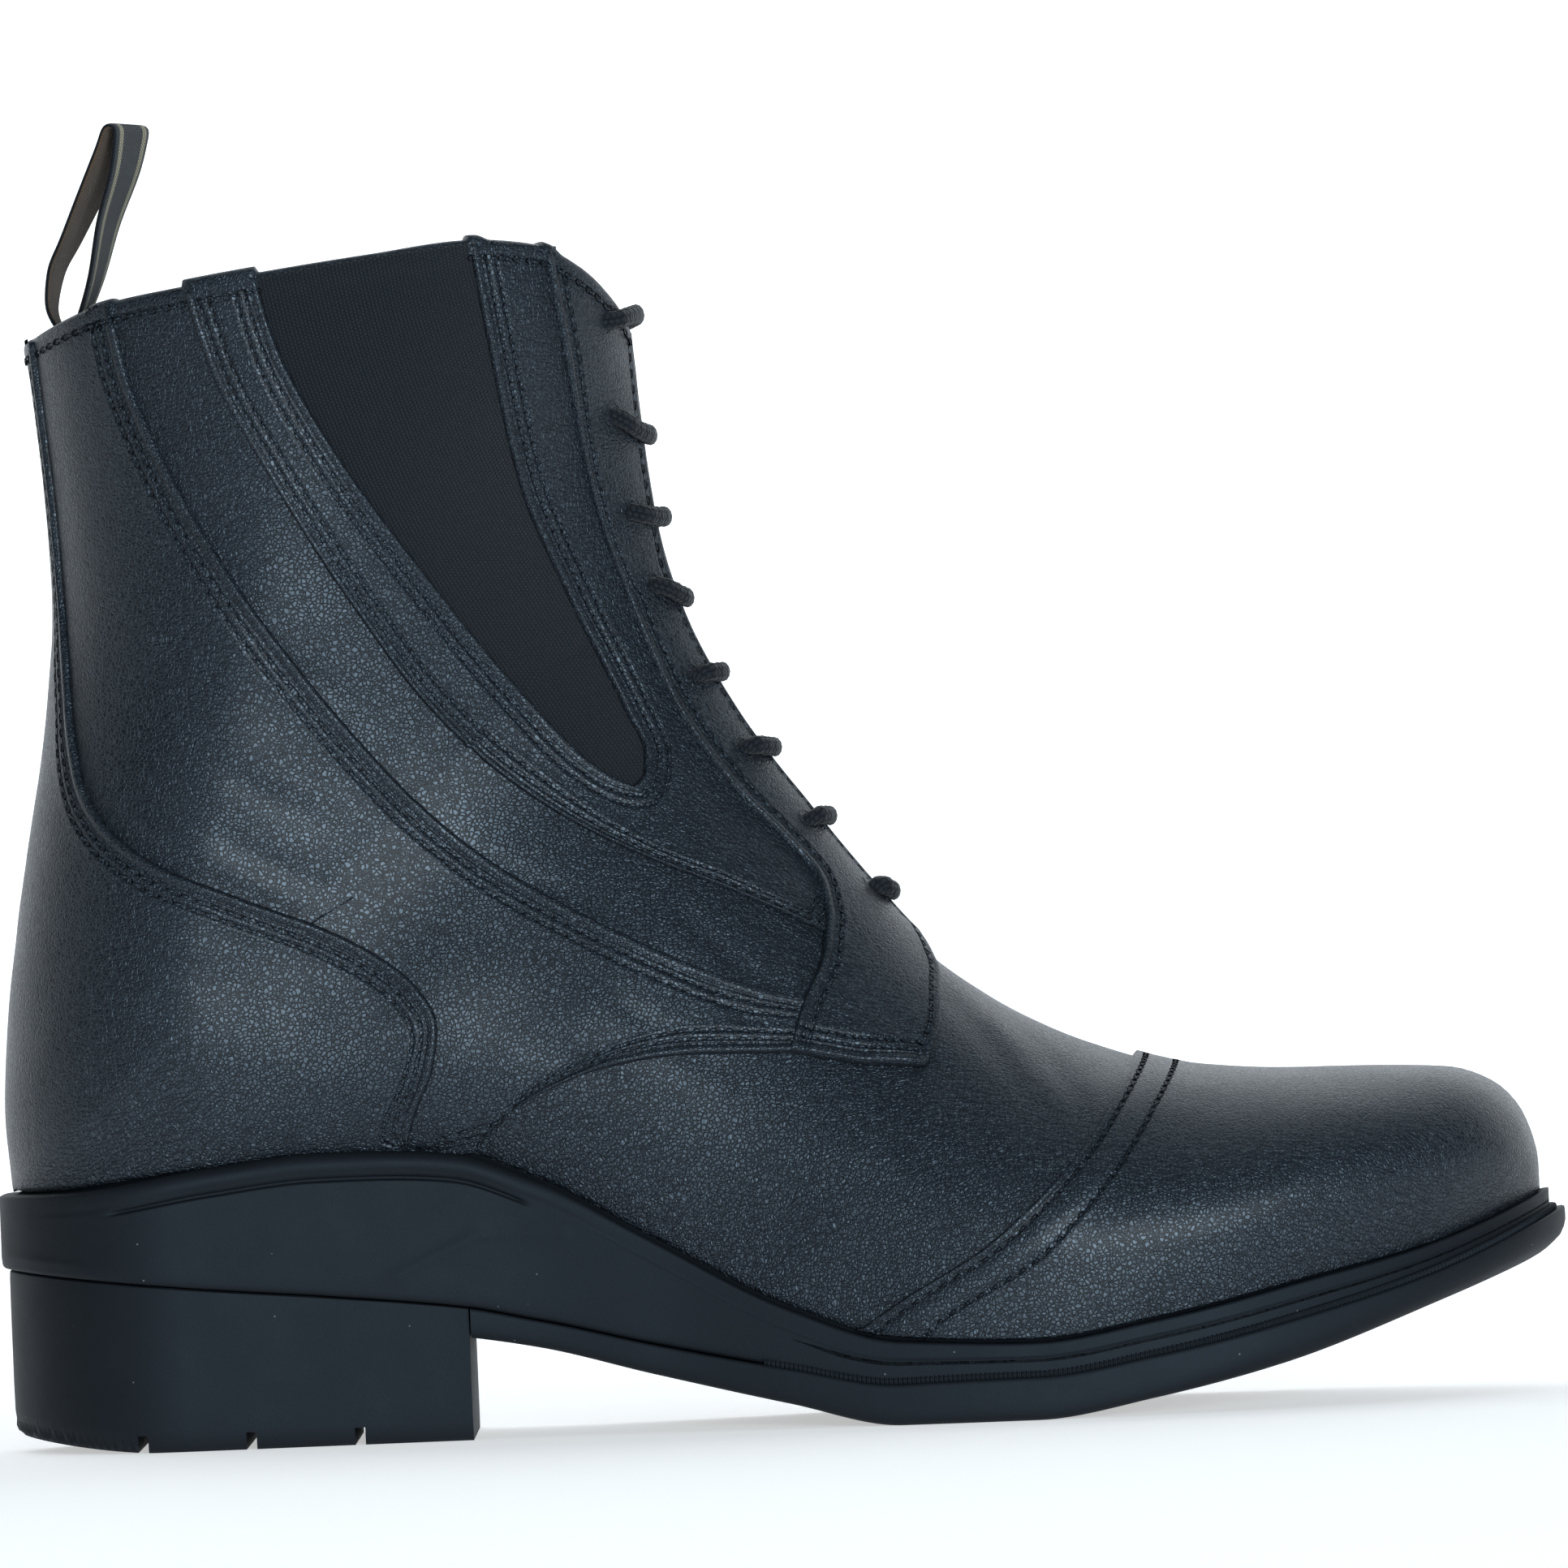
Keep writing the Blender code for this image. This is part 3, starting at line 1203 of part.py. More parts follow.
def build_pull_loop():
    """A webbing loop sewn inside the back of the collar, leaning forward and slightly turned."""
    rows = np.linspace(0, 1, FAN_ROWS)
    top = float(collar(1.0))
    base = surface(top, 1.0)
    sewn_end = np.interp(base[2] - LOOP_SEWN, GRID[HALF_ROWS:, -1, 2], rows[HALF_ROWS:])
    beside = surface(top, 1 - share_of_girth(top, LOOP_WIDTH / 2), -WALL)
    depth = beside[0] - base[0] + LOOP_CLEARANCE + LOOP_THICKNESS / 2
    outer_leg = surface(np.linspace(sewn_end, top, 4), 1.0, -depth)
    inner_leg = surface(np.linspace(top, sewn_end, 4), 1.0, -depth - LOOP_LEGS_APART)
    start = outer_leg[-1]
    free = np.array([(start[0] + f.fore * LOOP_LEAN, 0, start[2] + f.rise * LOOP_RISE) for f in LOOP])
    line = np.concatenate([outer_leg, free, inner_leg])
    run = np.concatenate([[0], np.cumsum(np.linalg.norm(np.diff(line, axis=0), axis=1))])
    at = np.linspace(0, run[-1], LOOP_STEPS + 1)
    centres = np.stack([smooth_curve(run, line[:, k], at) for k in range(3)], axis=1)
    turn = LOOP_TWIST * np.clip((centres[:, 2] - start[2]) / LOOP_RISE, 0, 1)
    across = np.stack([np.sin(turn), np.cos(turn), np.zeros_like(turn)], axis=1)
    runs = np.gradient(centres, axis=0)
    out = np.cross(runs, across)
    out /= np.linalg.norm(out, axis=1, keepdims=True)
    bm = bmesh.new()
    corners = [(-1, -1), (1, -1), (1, 1), (-1, 1)]
    rings = []
    for centre, side, up in zip(centres, across, out):
        points = [centre + side * s * LOOP_WIDTH / 2 + up * t * LOOP_THICKNESS / 2 for s, t in corners]
        rings.append(add_verts(bm, points))
    for one, two in zip(rings[:-1], rings[1:]):
        add_strip(bm, one + one[:1], two + two[:1])
    bm.faces.new(rings[0])
    bm.faces.new(rings[-1])
    add_object("pull_loop", bm, TEXTILE, BOOT)


def main():
    for obj in list(bpy.data.objects):
        bpy.data.objects.remove(obj)
    for collection in (BOOT, CUTTERS):
        bpy.context.scene.collection.children.link(collection)
    build_heel()
    build_outsole()
    build_midsole()
    build_insole()
    bars = bar_places()
    eyelets = build_eyelet_cutter(bars)
    build_upper(eyelets)
    build_tongue()
    build_toe_cap()
    build_counter()
    build_side("outer", -1, eyelets)
    build_side("inner", 1, eyelets)
    build_lace(bars)
    build_pull_loop()


main()
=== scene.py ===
import math
from collections import namedtuple

import bmesh
import bpy
import numpy as np
from mathutils import Matrix, Vector, noise


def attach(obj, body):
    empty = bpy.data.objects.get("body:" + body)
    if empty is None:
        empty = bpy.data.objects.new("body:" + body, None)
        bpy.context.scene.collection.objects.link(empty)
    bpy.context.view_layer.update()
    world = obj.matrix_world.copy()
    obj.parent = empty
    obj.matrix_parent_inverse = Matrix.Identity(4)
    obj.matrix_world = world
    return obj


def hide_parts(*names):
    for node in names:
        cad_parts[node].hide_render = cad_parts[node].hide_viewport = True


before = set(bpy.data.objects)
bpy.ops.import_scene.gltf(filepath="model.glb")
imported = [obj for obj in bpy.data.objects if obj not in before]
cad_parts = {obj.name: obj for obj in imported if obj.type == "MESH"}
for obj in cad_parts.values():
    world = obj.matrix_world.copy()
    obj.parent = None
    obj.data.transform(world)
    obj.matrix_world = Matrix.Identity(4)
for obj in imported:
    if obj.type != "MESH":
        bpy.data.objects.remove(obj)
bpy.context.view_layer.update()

# The looks of a right paddock boot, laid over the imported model.
# Metres. +X to the toe, +Y to the inner side of the foot, +Z up.
# A place on the leather is (along, around): along is 0 at the toe tip and 1 above the collar, around
# is 0 on the top line, -1 at the sole or the back line on the outer side and +1 on the inner side.

mm = 0.001
words = {-1: "outer", 1: "inner"}

boot = {
    "length": 0.2892,
    "ballWidth": 0.103,
    "heelRadius": 0.033,
    "toeReach": 0.078,
    "instepHeight": 0.0843,
    "collarHeight": 0.2184,
    "wall": 0.0022,
    "standGap": 0.0008,
    "backStrip": 0.0085,
    "throatGap": 0.0056,
    "throatFootGap": 0.0032,
    "throatRound": 0.02,
}
halfLength = boot["length"] / 2
sole = {
    "heelLift": 0.0191,
    "toeSpring": 0.0268,
    "band": 0.0074,
    "wallHeight": 0.0278,
    "heelLength": 0.0864,
    "toeLedge": 0.0062,
    "sideLedge": 0.0044,
    "heelLedge": 0.0048,
    "rimWidth": 0.0036,
    "weltStep": 0.0016,
    "toeStep": 0.0029,
    "heelStep": 0.0013,
    "heelRoll": 0.0040,
    "heelRollLength": 0.028,
    "notches": (0.30, 0.53, 0.76),
    "notchDepth": 0.0032,
    "notchWidth": 0.0019,
    "seamGap": 0.3 * mm,
}

Station = namedtuple("Station", "station half centre lift spring band wall bed step groove")
soleTable = [Station(*row) for row in (
    (0.000, 0.330, 0.000, 1.50, 0.00, 0.77, 0.486, 0.70, 0.0, 0.0),
    (0.050, 0.330, 0.000, 1.40, 0.00, 0.77, 0.565, 0.70, 0.0, 0.2),
    (0.137, 0.330, -0.002, 1.25, 0.00, 0.77, 0.795, 0.59, 0.0, 1.0),
    (0.206, 0.326, -0.008, 1.15, 0.00, 0.77, 0.932, 0.48, 0.0, 1.0),
    (0.292, 0.316, -0.022, 1.00, 0.00, 0.77, 1.000, 0.38, 0.0, 1.0),
    (0.344, 0.312, -0.034, 0.86, 0.00, 0.70, 0.914, 0.39, 0.1, 0.6),
    (0.414, 0.322, -0.050, 0.57, 0.00, 0.77, 0.683, 0.44, 0.4, 0.0),
    (0.500, 0.368, -0.056, 0.24, 0.00, 0.90, 0.385, 0.56, 0.8, 0.0),
    (0.570, 0.418, -0.046, 0.00, 0.00, 1.05, 0.270, 0.62, 1.0, 0.0),
    (0.655, 0.468, -0.020, 0.00, 0.00, 1.10, 0.215, 0.60, 1.0, 0.0),
    (0.730, 0.492, 0.012, 0.00, 0.12, 1.07, 0.218, 0.60, 1.0, 0.0),
    (0.811, 0.496, 0.036, 0.00, 0.31, 1.03, 0.222, 0.60, 1.0, 0.0),
    (0.915, 0.496, 0.060, 0.00, 0.68, 0.80, 0.180, 0.60, 1.0, 0.0),
    (1.000, 0.496, 0.078, 0.00, 1.00, 0.97, 0.155, 0.60, 1.0, 0.0),
)]

# Side view points: fore is a share of the length from the heel, level is 0 at the floor, 1 at the foot
# of the lacing and 2 at the collar.
Point = namedtuple("Point", "fore level")
Back = namedtuple("Back", "fore rise")
Section = namedtuple("Section", "foot head body ridge girth square")


def sideLine(*points):
    return [Point(*point) for point in points]


topLine = sideLine(
    (0.9800, 0.430), (0.9798, 0.500), (0.9730, 0.592), (0.9560, 0.662), (0.9290, 0.698), (0.8960, 0.706),
    (0.8300, 0.711), (0.7700, 0.728), (0.7000, 0.798), (0.6450, 0.892), (0.5980, 1.006), (0.5610, 1.100),
    (0.5285, 1.193), (0.4795, 1.350), (0.4518, 1.473), (0.4368, 1.580), (0.4285, 1.690), (0.4225, 1.815),
    (0.4185, 1.930), (0.4175, 2.030))
collarLine = sideLine(
    (0.030, 1.870), (0.055, 1.903), (0.095, 1.935), (0.145, 1.952), (0.200, 1.968), (0.265, 1.985),
    (0.330, 2.000), (0.365, 1.993), (0.389, 1.965), (0.407, 1.925), (0.419, 1.870), (0.425, 1.780))
counterSeam = sideLine(
    (0.0480, 1.990), (0.0540, 1.743), (0.0600, 1.586), (0.0650, 1.451), (0.0670, 1.361), (0.0710, 1.294),
    (0.0830, 1.236), (0.1130, 1.176), (0.1640, 1.125), (0.2150, 1.079), (0.2500, 1.037), (0.2753, 0.983),
    (0.2870, 0.902), (0.2835, 0.814), (0.2720, 0.726), (0.2600, 0.600))
rearSeam = sideLine(
    (0.0955, 2.015), (0.1093, 1.850), (0.1310, 1.725), (0.1719, 1.553), (0.2109, 1.426), (0.2455, 1.328),
    (0.2801, 1.242), (0.3202, 1.165), (0.3707, 1.093), (0.4215, 1.033), (0.4723, 0.973), (0.5140, 0.926))
middleSeam = sideLine(
    (0.1408, 2.015), (0.1622, 1.846), (0.1954, 1.697), (0.2244, 1.582), (0.2438, 1.513), (0.2828, 1.386),
    (0.3226, 1.293), (0.3728, 1.210), (0.4236, 1.150), (0.4744, 1.101), (0.5290, 1.042))
goreBack = sideLine(
    (0.1880, 2.015), (0.2040, 1.875), (0.2376, 1.726), (0.2863, 1.565), (0.3454, 1.392), (0.3949, 1.276),
    (0.4140, 1.250))
goreFront = sideLine(
    (0.3248, 2.015), (0.3340, 1.875), (0.3506, 1.671), (0.3786, 1.512), (0.4118, 1.353), (0.4225, 1.295),
    (0.4215, 1.262))
facingSeam = sideLine(
    (0.3680, 2.015), (0.3800, 1.837), (0.3921, 1.667), (0.4149, 1.498), (0.4429, 1.350), (0.4772, 1.235),
    (0.5069, 1.165), (0.5266, 1.107), (0.5318, 1.062))
facingFoot = sideLine((0.5318, 1.062), (0.5295, 1.010), (0.5156, 0.905), (0.5070, 0.812))
facingFront = sideLine((0.5885, 1.025), (0.5965, 0.995), (0.6025, 0.945), (0.6030, 0.860), (0.5945, 0.765))
derbySeam = sideLine(
    (0.3005, 0.600), (0.3240, 0.692), (0.3555, 0.753), (0.3921, 0.795), (0.4443, 0.815), (0.5050, 0.809))
capSeam = sideLine(
    (0.7330, 0.790), (0.7127, 0.681), (0.6905, 0.577), (0.6580, 0.466), (0.6207, 0.364), (0.5781, 0.281),
    (0.5410, 0.200))
backLine = [Back(*row) for row in (
    (0.0166, 0.000), (0.0135, 0.080), (0.0172, 0.165), (0.0275, 0.290), (0.0400, 0.410), (0.0510, 0.520),
    (0.0575, 0.640), (0.0560, 0.740), (0.0510, 0.850), (0.0455, 0.930), (0.0430, 1.030))]
sections = [Section(*row) for row in (
    (0.002, 0.000, 0.000, 0.078, 0.36, 2.00), (0.011, 0.022, 0.120, 0.075, 0.36, 2.05),
    (0.036, 0.052, 0.220, 0.073, 0.36, 2.15), (0.076, 0.086, 0.300, 0.070, 0.35, 2.30),
    (0.130, 0.140, 0.370, 0.064, 0.33, 2.35), (0.195, 0.205, 0.420, 0.056, 0.30, 2.30),
    (0.267, 0.275, 0.445, 0.046, 0.28, 2.20), (0.345, 0.348, 0.450, 0.037, 0.28, 2.10),
    (0.424, 0.412, 0.432, 0.030, 0.29, 2.00), (0.502, 0.468, 0.400, 0.024, 0.30, 1.90),
    (0.584, 0.523, 0.370, 0.018, 0.30, 1.85), (0.673, 0.577, 0.350, 0.012, 0.29, 1.85),
    (0.766, 0.628, 0.335, 0.007, 0.27, 1.85), (0.855, 0.672, 0.328, 0.003, 0.255, 1.87),
    (0.930, 0.713, 0.325, 0.001, 0.25, 1.90), (0.980, 0.750, 0.325, 0.000, 0.26, 1.92),
    (1.000, 0.778, 0.326, 0.000, 0.275, 1.95), (1.047, 0.803, 0.328, 0.000, 0.29, 1.97),
    (1.133, 0.829, 0.330, 0.000, 0.315, 2.00), (1.242, 0.854, 0.334, 0.000, 0.35, 2.00),
    (1.368, 0.879, 0.342, 0.000, 0.385, 2.00), (1.495, 0.902, 0.354, 0.000, 0.42, 2.00),
    (1.621, 0.925, 0.369, 0.000, 0.45, 2.00), (1.747, 0.948, 0.383, 0.000, 0.47, 2.00),
    (1.874, 0.972, 0.393, 0.000, 0.48, 2.00), (2.000, 1.000, 0.397, 0.000, 0.48, 2.00),
)]

print("sizes read")


def smoothCurve(places, values, at):
    # runs through every value and never overshoots one
    places = np.asarray(places, float)
    values = np.asarray(values, float)
    at = np.clip(np.asarray(at, float), places[0], places[-1])
    steps = np.diff(places)
    grades = np.diff(values) / steps
    slopes = np.zeros(len(values))
    slopes[0], slopes[-1] = grades[0], grades[-1]
    for i in range(1, len(values) - 1):
        before, after = grades[i - 1], grades[i]
        if before * after > 0:
            early, late = 2 * steps[i] + steps[i - 1], steps[i] + 2 * steps[i - 1]
            slopes[i] = (early + late) / (early / before + late / after)
    i = np.clip(np.searchsorted(places, at) - 1, 0, len(steps) - 1)
    t = (at - places[i]) / steps[i]
    ends = values[i] * (1 + 2 * t) * (1 - t) ** 2 + values[i + 1] * t**2 * (3 - 2 * t)
    return ends + steps[i] * t * (1 - t) * (slopes[i] * (1 - t) - slopes[i + 1] * t)


def soften(values, width):
    # a running average that keeps both ends
    reach = int(4 * width)
    weights = np.exp(-0.5 * (np.arange(-reach, reach + 1) / width) ** 2)
    before = 2 * values[0] - values[reach:0:-1]
    after = 2 * values[-1] - values[-2 : -reach - 2 : -1]
    return np.convolve(np.concatenate([before, values, after]), weights / weights.sum(), "valid")


def softLine(points, width):
    return np.stack([soften(points[:, k], width) for k in range(3)], axis=1)


def smoothStep(low, high, value):
    t = np.clip((np.asarray(value, float) - low) / (high - low), 0, 1)
    return t * t * (3 - 2 * t)


def runAlong(points):
    # how far along a line, or along each row of a grid, the points lie
    steps = np.linalg.norm(np.diff(points, axis=-2), axis=-1)
    return np.concatenate([np.zeros_like(steps[..., :1]), np.cumsum(steps, axis=-1)], axis=-1)


def readLine(points, run, at):
    return np.stack([np.interp(at, run, points[:, k]) for k in range(points.shape[1])], axis=1)


def unit(vectors):
    return vectors / np.maximum(np.linalg.norm(vectors, axis=-1, keepdims=True), 1e-12)


def across(vectors, ahead):
    # what is left of each vector square to the direction ahead
    return vectors - ahead * (vectors * ahead).sum(axis=-1, keepdims=True)


def column(table, name):
    return np.array([getattr(row, name) for row in table])


def fore(share):
    return (np.asarray(share, float) - 0.5) * boot["length"]


def height(level):
    level = np.asarray(level, float)
    above = np.maximum(level - 1, 0) * (boot["collarHeight"] - boot["instepHeight"])
    return np.minimum(level, 1) * boot["instepHeight"] + above


def sideView(points):
    return fore(column(points, "fore")), height(column(points, "level"))


def path(points, count):
    # evenly spaced points of the smooth curve through side view points, as X and Z
    x, z = sideView(points)
    run = np.concatenate([[0], np.cumsum(np.hypot(np.diff(x), np.diff(z)))])
    at = np.linspace(0, run[-1], count)
    return np.stack([smoothCurve(run, x, at), smoothCurve(run, z, at)], axis=1)


# The sole's lines

def soleValue(x, name):
    station = np.asarray(x) / boot["length"] + 0.5
    return smoothCurve(column(soleTable, "station"), column(soleTable, name), station)


def groundLine(x):
    return soleValue(x, "lift") * sole["heelLift"] + soleValue(x, "spring") * sole["toeSpring"]


def jointLine(x):
    return groundLine(x) + soleValue(x, "band") * sole["band"]


def rimLine(x):
    return jointLine(x) + soleValue(x, "wall") * sole["wallHeight"]


def bedLine(x):
    return jointLine(x) + soleValue(x, "bed") * soleValue(x, "wall") * sole["wallHeight"]


def roundedEnd(distance, reach, power):
    t = np.clip(1 - distance / reach, 0, 1)
    return (1 - t**power) ** (1 / power)


def outline(x, back, side, front):
    # half width of the footprint, inset by these amounts at the heel, the sides and the toe
    half = soleValue(x, "half") * boot["ballWidth"] - side
    heel = roundedEnd(x + halfLength - back, boot["heelRadius"], 2.0)
    toe = roundedEnd(halfLength - front - x, boot["toeReach"], 2.1)
    return half * heel * toe


def centreLine(x):
    return soleValue(x, "centre") * boot["ballWidth"]


lengthwise = np.linspace(-halfLength, halfLength, 400)
widths = outline(lengthwise, 0, 0, 0)
middleY = ((centreLine(lengthwise) + widths).max() + (centreLine(lengthwise) - widths).min()) / 2

# The upper as a fan of sections, a fine grid of points that everything on the leather is read from

fanRows = 251
fanHalf = 81
fanMargin = 14


def backSeam(rise):
    seat = rimLine(fore(backLine[0].fore)) + boot["standGap"]
    x = smoothCurve(column(backLine, "rise"), fore(column(backLine, "fore")), rise)
    return x, seat + rise * (boot["collarHeight"] - seat)


def sectionLine(foot, head, footY, body, ridge, girth, square, side):
    # one side of a section, from the top line to its foot
    wide = (footY**30 + body**30) ** (1 / 30)
    tall = math.hypot(head[0] - foot[0], head[1] - foot[1])
    wide = max(wide, footY + min(0.012 * footY, 0.03 * tall))
    up = np.linspace(math.pi / 2, 0, 160)
    turn = math.acos(min(footY / wide, 1))
    down = np.linspace(0, turn, 80)[1:]
    rise = girth + (1 - girth) * np.sin(up) ** (2 / square)
    fall = girth - girth * np.sin(down) / max(math.sin(turn), 1e-6)
    share = np.concatenate([rise, fall])
    out = np.concatenate([wide * np.clip(np.cos(up), 0, 1) ** (2 / square), wide * np.cos(down)])
    x = foot[0] + share * (head[0] - foot[0])
    z = foot[1] + share * (head[1] - foot[1])
    points = np.stack([x, ridge + side * out, z], axis=1)
    run = runAlong(points)
    return readLine(points, run, np.linspace(0, run[-1], fanHalf))


def makeFan():
    order = np.arange(len(sections))
    at = np.linspace(0, order[-1], fanRows)
    values = {name: soften(smoothCurve(order, column(sections, name), at), 2.5) for name in Section._fields}
    top = path(topLine, 400)
    head = readLine(top, np.linspace(0, 1, len(top)), values["head"])
    toeX, heelX = fore(topLine[0].fore), fore(backLine[0].fore)
    onSole = values["foot"] <= 1
    soleX = toeX + np.minimum(values["foot"], 1) * (heelX - toeX)
    seamX, seamZ = backSeam(np.clip(values["foot"] - 1, 0, 1) * backLine[-1].rise)
    footX = np.where(onSole, soleX, seamX)
    foot = np.stack([footX, np.where(onSole, rimLine(soleX) + boot["standGap"], seamZ)], axis=1)
    head[0] = foot[0]
    grid = np.zeros((fanRows, 2 * fanHalf - 1, 3))
    for row in range(fanRows):
        ridge, body, girth, square = (values[name][row] for name in ("ridge", "body", "girth", "square"))
        ridge, body = ridge * boot["ballWidth"], body * boot["ballWidth"]
        half = outline(footX[row], heelX + halfLength, sole["sideLedge"], halfLength - toeX)
        for side in (-1, 1):
            footY = (centreLine(footX[row]) - ridge) * side + half if onSole[row] else 0.0
            line = sectionLine(foot[row], head[row], max(footY, 0.0), body, ridge, girth, square, side)
            if side < 0:
                grid[row, :fanHalf] = line[::-1]
            else:
                grid[row, fanHalf - 1 :] = line
    grid[:, :, 1] -= middleY
    return grid, foot, head, values["foot"]


def padGrid(grid, closed):
    # more columns past both ends, over the back seam where the sections close there, and more rows
    steps = np.arange(1, fanMargin + 1)[None, :, None]
    last = grid.shape[1] - 1
    left = grid[:, :1] + steps[:, ::-1] * (grid[:, :1] - grid[:, 1:2])
    right = grid[:, -1:] + steps * (grid[:, -1:] - grid[:, -2:-1])
    left[closed] = grid[closed, last - fanMargin : last]
    right[closed] = grid[closed, 1 : fanMargin + 1]
    wide = np.concatenate([left, grid, right], axis=1)
    under = [wide[:1] * (1 + k) - wide[1:2] * k for k in (2, 1)]
    over = [wide[-1:] * (1 + k) - wide[-2:-1] * k for k in (1, 2)]
    return np.concatenate(under + [wide] + over)


def cubic(t):
    t = t[..., None]
    return [
        0.5 * (-t + 2 * t**2 - t**3),
        0.5 * (2 - 5 * t**2 + 3 * t**3),
        0.5 * (t + 4 * t**2 - 3 * t**3),
        0.5 * (-(t**2) + t**3),
    ]


def readGrid(grid, along, around):
    along, around = np.broadcast_arrays(np.asarray(along, float), np.asarray(around, float))
    r = np.clip(along, 0, 1) * (fanRows - 1) + 2
    c = np.clip((around + 1) * (fanHalf - 1) + fanMargin, 1, grid.shape[1] - 3)
    i = np.minimum(r.astype(int), fanRows)
    j = c.astype(int)
    total = 0
    for a, rowWeight in enumerate(cubic(r - i)):
        for b, columnWeight in enumerate(cubic(c - j)):
            total = total + rowWeight * columnWeight * grid[i + a - 1, j + b - 1]
    return total


fanGrid, fanFoot, fanHead, fanFeet = makeFan()
rowShare = np.linspace(0, 1, fanRows)
heelPlace = float(np.interp(1, fanFeet, rowShare))
padded = padGrid(fanGrid, rowShare >= heelPlace)
normals = np.cross(np.gradient(padded, axis=1), np.gradient(padded, axis=0))
normals[:3] = normals[3] * (1, 1, 0.3)
normals = unit(normals)
girths = np.linalg.norm(np.diff(fanGrid, axis=1), axis=2)
girths = {-1: girths[:, : fanHalf - 1].sum(axis=1), 1: girths[:, fanHalf - 1 :].sum(axis=1)}


def normalAt(places):
    return unit(readGrid(normals, places[..., 0], places[..., 1]))


def surface(places, lift=0.0):
    point = readGrid(padded, places[..., 0], places[..., 1])
    if np.ndim(lift) == 0 and lift == 0:
        return point
    return point + normalAt(places) * np.asarray(lift)[..., None]


def pair(along, around):
    return np.stack(np.broadcast_arrays(np.asarray(along, float), np.asarray(around, float)), axis=-1)


def roundShare(along, distance, side):
    # a distance from the top line, measured round the leather, as an around value
    return distance / np.interp(along, rowShare, np.maximum(girths[side], 1e-4))


def locate(points, side):
    # the places that side view points (X, Z) have on one side of the leather
    points = np.asarray(points, float)
    reach = fanHead - fanFoot
    offset = points[:, None] - fanFoot
    turn = reach[:, 0] * offset[..., 1] - reach[:, 1] * offset[..., 0]
    share = (reach * offset).sum(axis=-1) / np.maximum((reach**2).sum(axis=-1), 1e-10)
    inside = (turn[:, :-1] >= 0) & (turn[:, 1:] < 0) & (share[:, 1:] > -0.6) & (share[:, 1:] < 1.6)
    each, row = np.arange(len(points)), inside.argmax(axis=1)
    part = turn[each, row] / (turn[each, row] - turn[each, row + 1])
    along = (row + part) / (fanRows - 1)
    level = share[each, row] * (1 - part) + share[each, row + 1] * part
    spots = np.linspace(0, 1, 161)
    half = readGrid(padded, along[:, None], side * spots[None])
    part = part[:, None]
    base = fanFoot[row] * (1 - part) + fanFoot[row + 1] * part
    line = reach[row] * (1 - part) + reach[row + 1] * part
    above = ((half[..., [0, 2]] - base[:, None]) * line[:, None]).sum(axis=-1)
    shares = above / (line**2).sum(axis=-1)[:, None]
    around = [np.interp(-l, -s, spots) for l, s in zip(np.clip(level, 0, 1), shares)]
    return pair(along, side * np.array(around))


def evenly(places, count, power=1.0):
    run = runAlong(surface(places))
    return readLine(places, run, run[-1] * np.linspace(0, 1, count) ** power)


def collarPlaces():
    # for each column of the fan, how far along the collar cuts it
    x, z = sideView(collarLine)
    ends = []
    for j in range(fanGrid.shape[1]):
        above = fanGrid[:, j, 2] - smoothCurve(x, z, fanGrid[:, j, 0])
        above[: fanRows // 2] = -1
        row = int(np.argmax(above > 0)) if (above > 0).any() else fanRows - 1
        part = above[row - 1] / (above[row - 1] - above[row]) if above[row] > 0 else 1.0
        ends.append((row - 1 + part) / (fanRows - 1))
    return np.array(ends)


collarEnds = collarPlaces()


def collarAt(around):
    return np.interp(around, np.linspace(-1, 1, len(collarEnds)), collarEnds)


def seam(points, side, count, power=1.0):
    places = locate(path(points, 300), side)
    over = places[:, 0] - collarAt(places[:, 1])
    first = int(np.argmax(over <= 0))
    if first > 0:
        part = over[first - 1] / (over[first - 1] - over[first])
        start = places[first - 1] * (1 - part) + places[first] * part
        places = np.concatenate([start[None], places[first:]])
    return evenly(places, count, power)


def stepAside(places, distance, side):
    # a line moved over the leather: forward for one that runs down, up for one that runs forward
    aside = unit(np.cross(normalAt(places), np.gradient(surface(places), axis=0)) * -side) * distance
    tiny = 1e-3
    slopes = []
    for shift in (np.array([tiny, 0]), np.array([0, tiny])):
        slopes.append((surface(places + shift) - surface(places - shift)) / (2 * tiny))
    a, b = slopes
    aa, ab, bb = (a * a).sum(axis=1), (a * b).sum(axis=1), (b * b).sum(axis=1)
    av, bv = (a * aside).sum(axis=1), (b * aside).sum(axis=1)
    whole = np.maximum(aa * bb - ab**2, 1e-14)
    return places + np.stack([(av * bb - bv * ab) / whole, (bv * aa - av * ab) / whole], axis=1)


throat = float(np.interp(0, fanHead[fanRows // 4 :, 1] - height(1.0), rowShare[fanRows // 4 :]))


def throatEdge(along, side):
    # the lace facing's front edge as an around value: nothing before the throat, then a rounded start
    start = np.clip((along - throat) / boot["throatRound"], 0, 1)
    widening = np.clip((along - throat) / (1 - throat), 0, 1)
    gap = boot["throatFootGap"] + (boot["throatGap"] - boot["throatFootGap"]) * widening
    return side * roundShare(along, gap * np.sqrt(start), side)


print("leather grid made, throat", round(throat, 3), "heel", round(heelPlace, 3))

# Meshes

looks = bpy.data.collections.new("bootLooks")
bpy.context.scene.collection.children.link(looks)
materials = {}


def closed(index):
    # a grid of point numbers with its first column again at the end
    return np.concatenate([index, index[:, :1]], axis=1)


def quads(grid):
    return grid[:-1, :-1], grid[1:, :-1], grid[1:, 1:], grid[:-1, 1:]


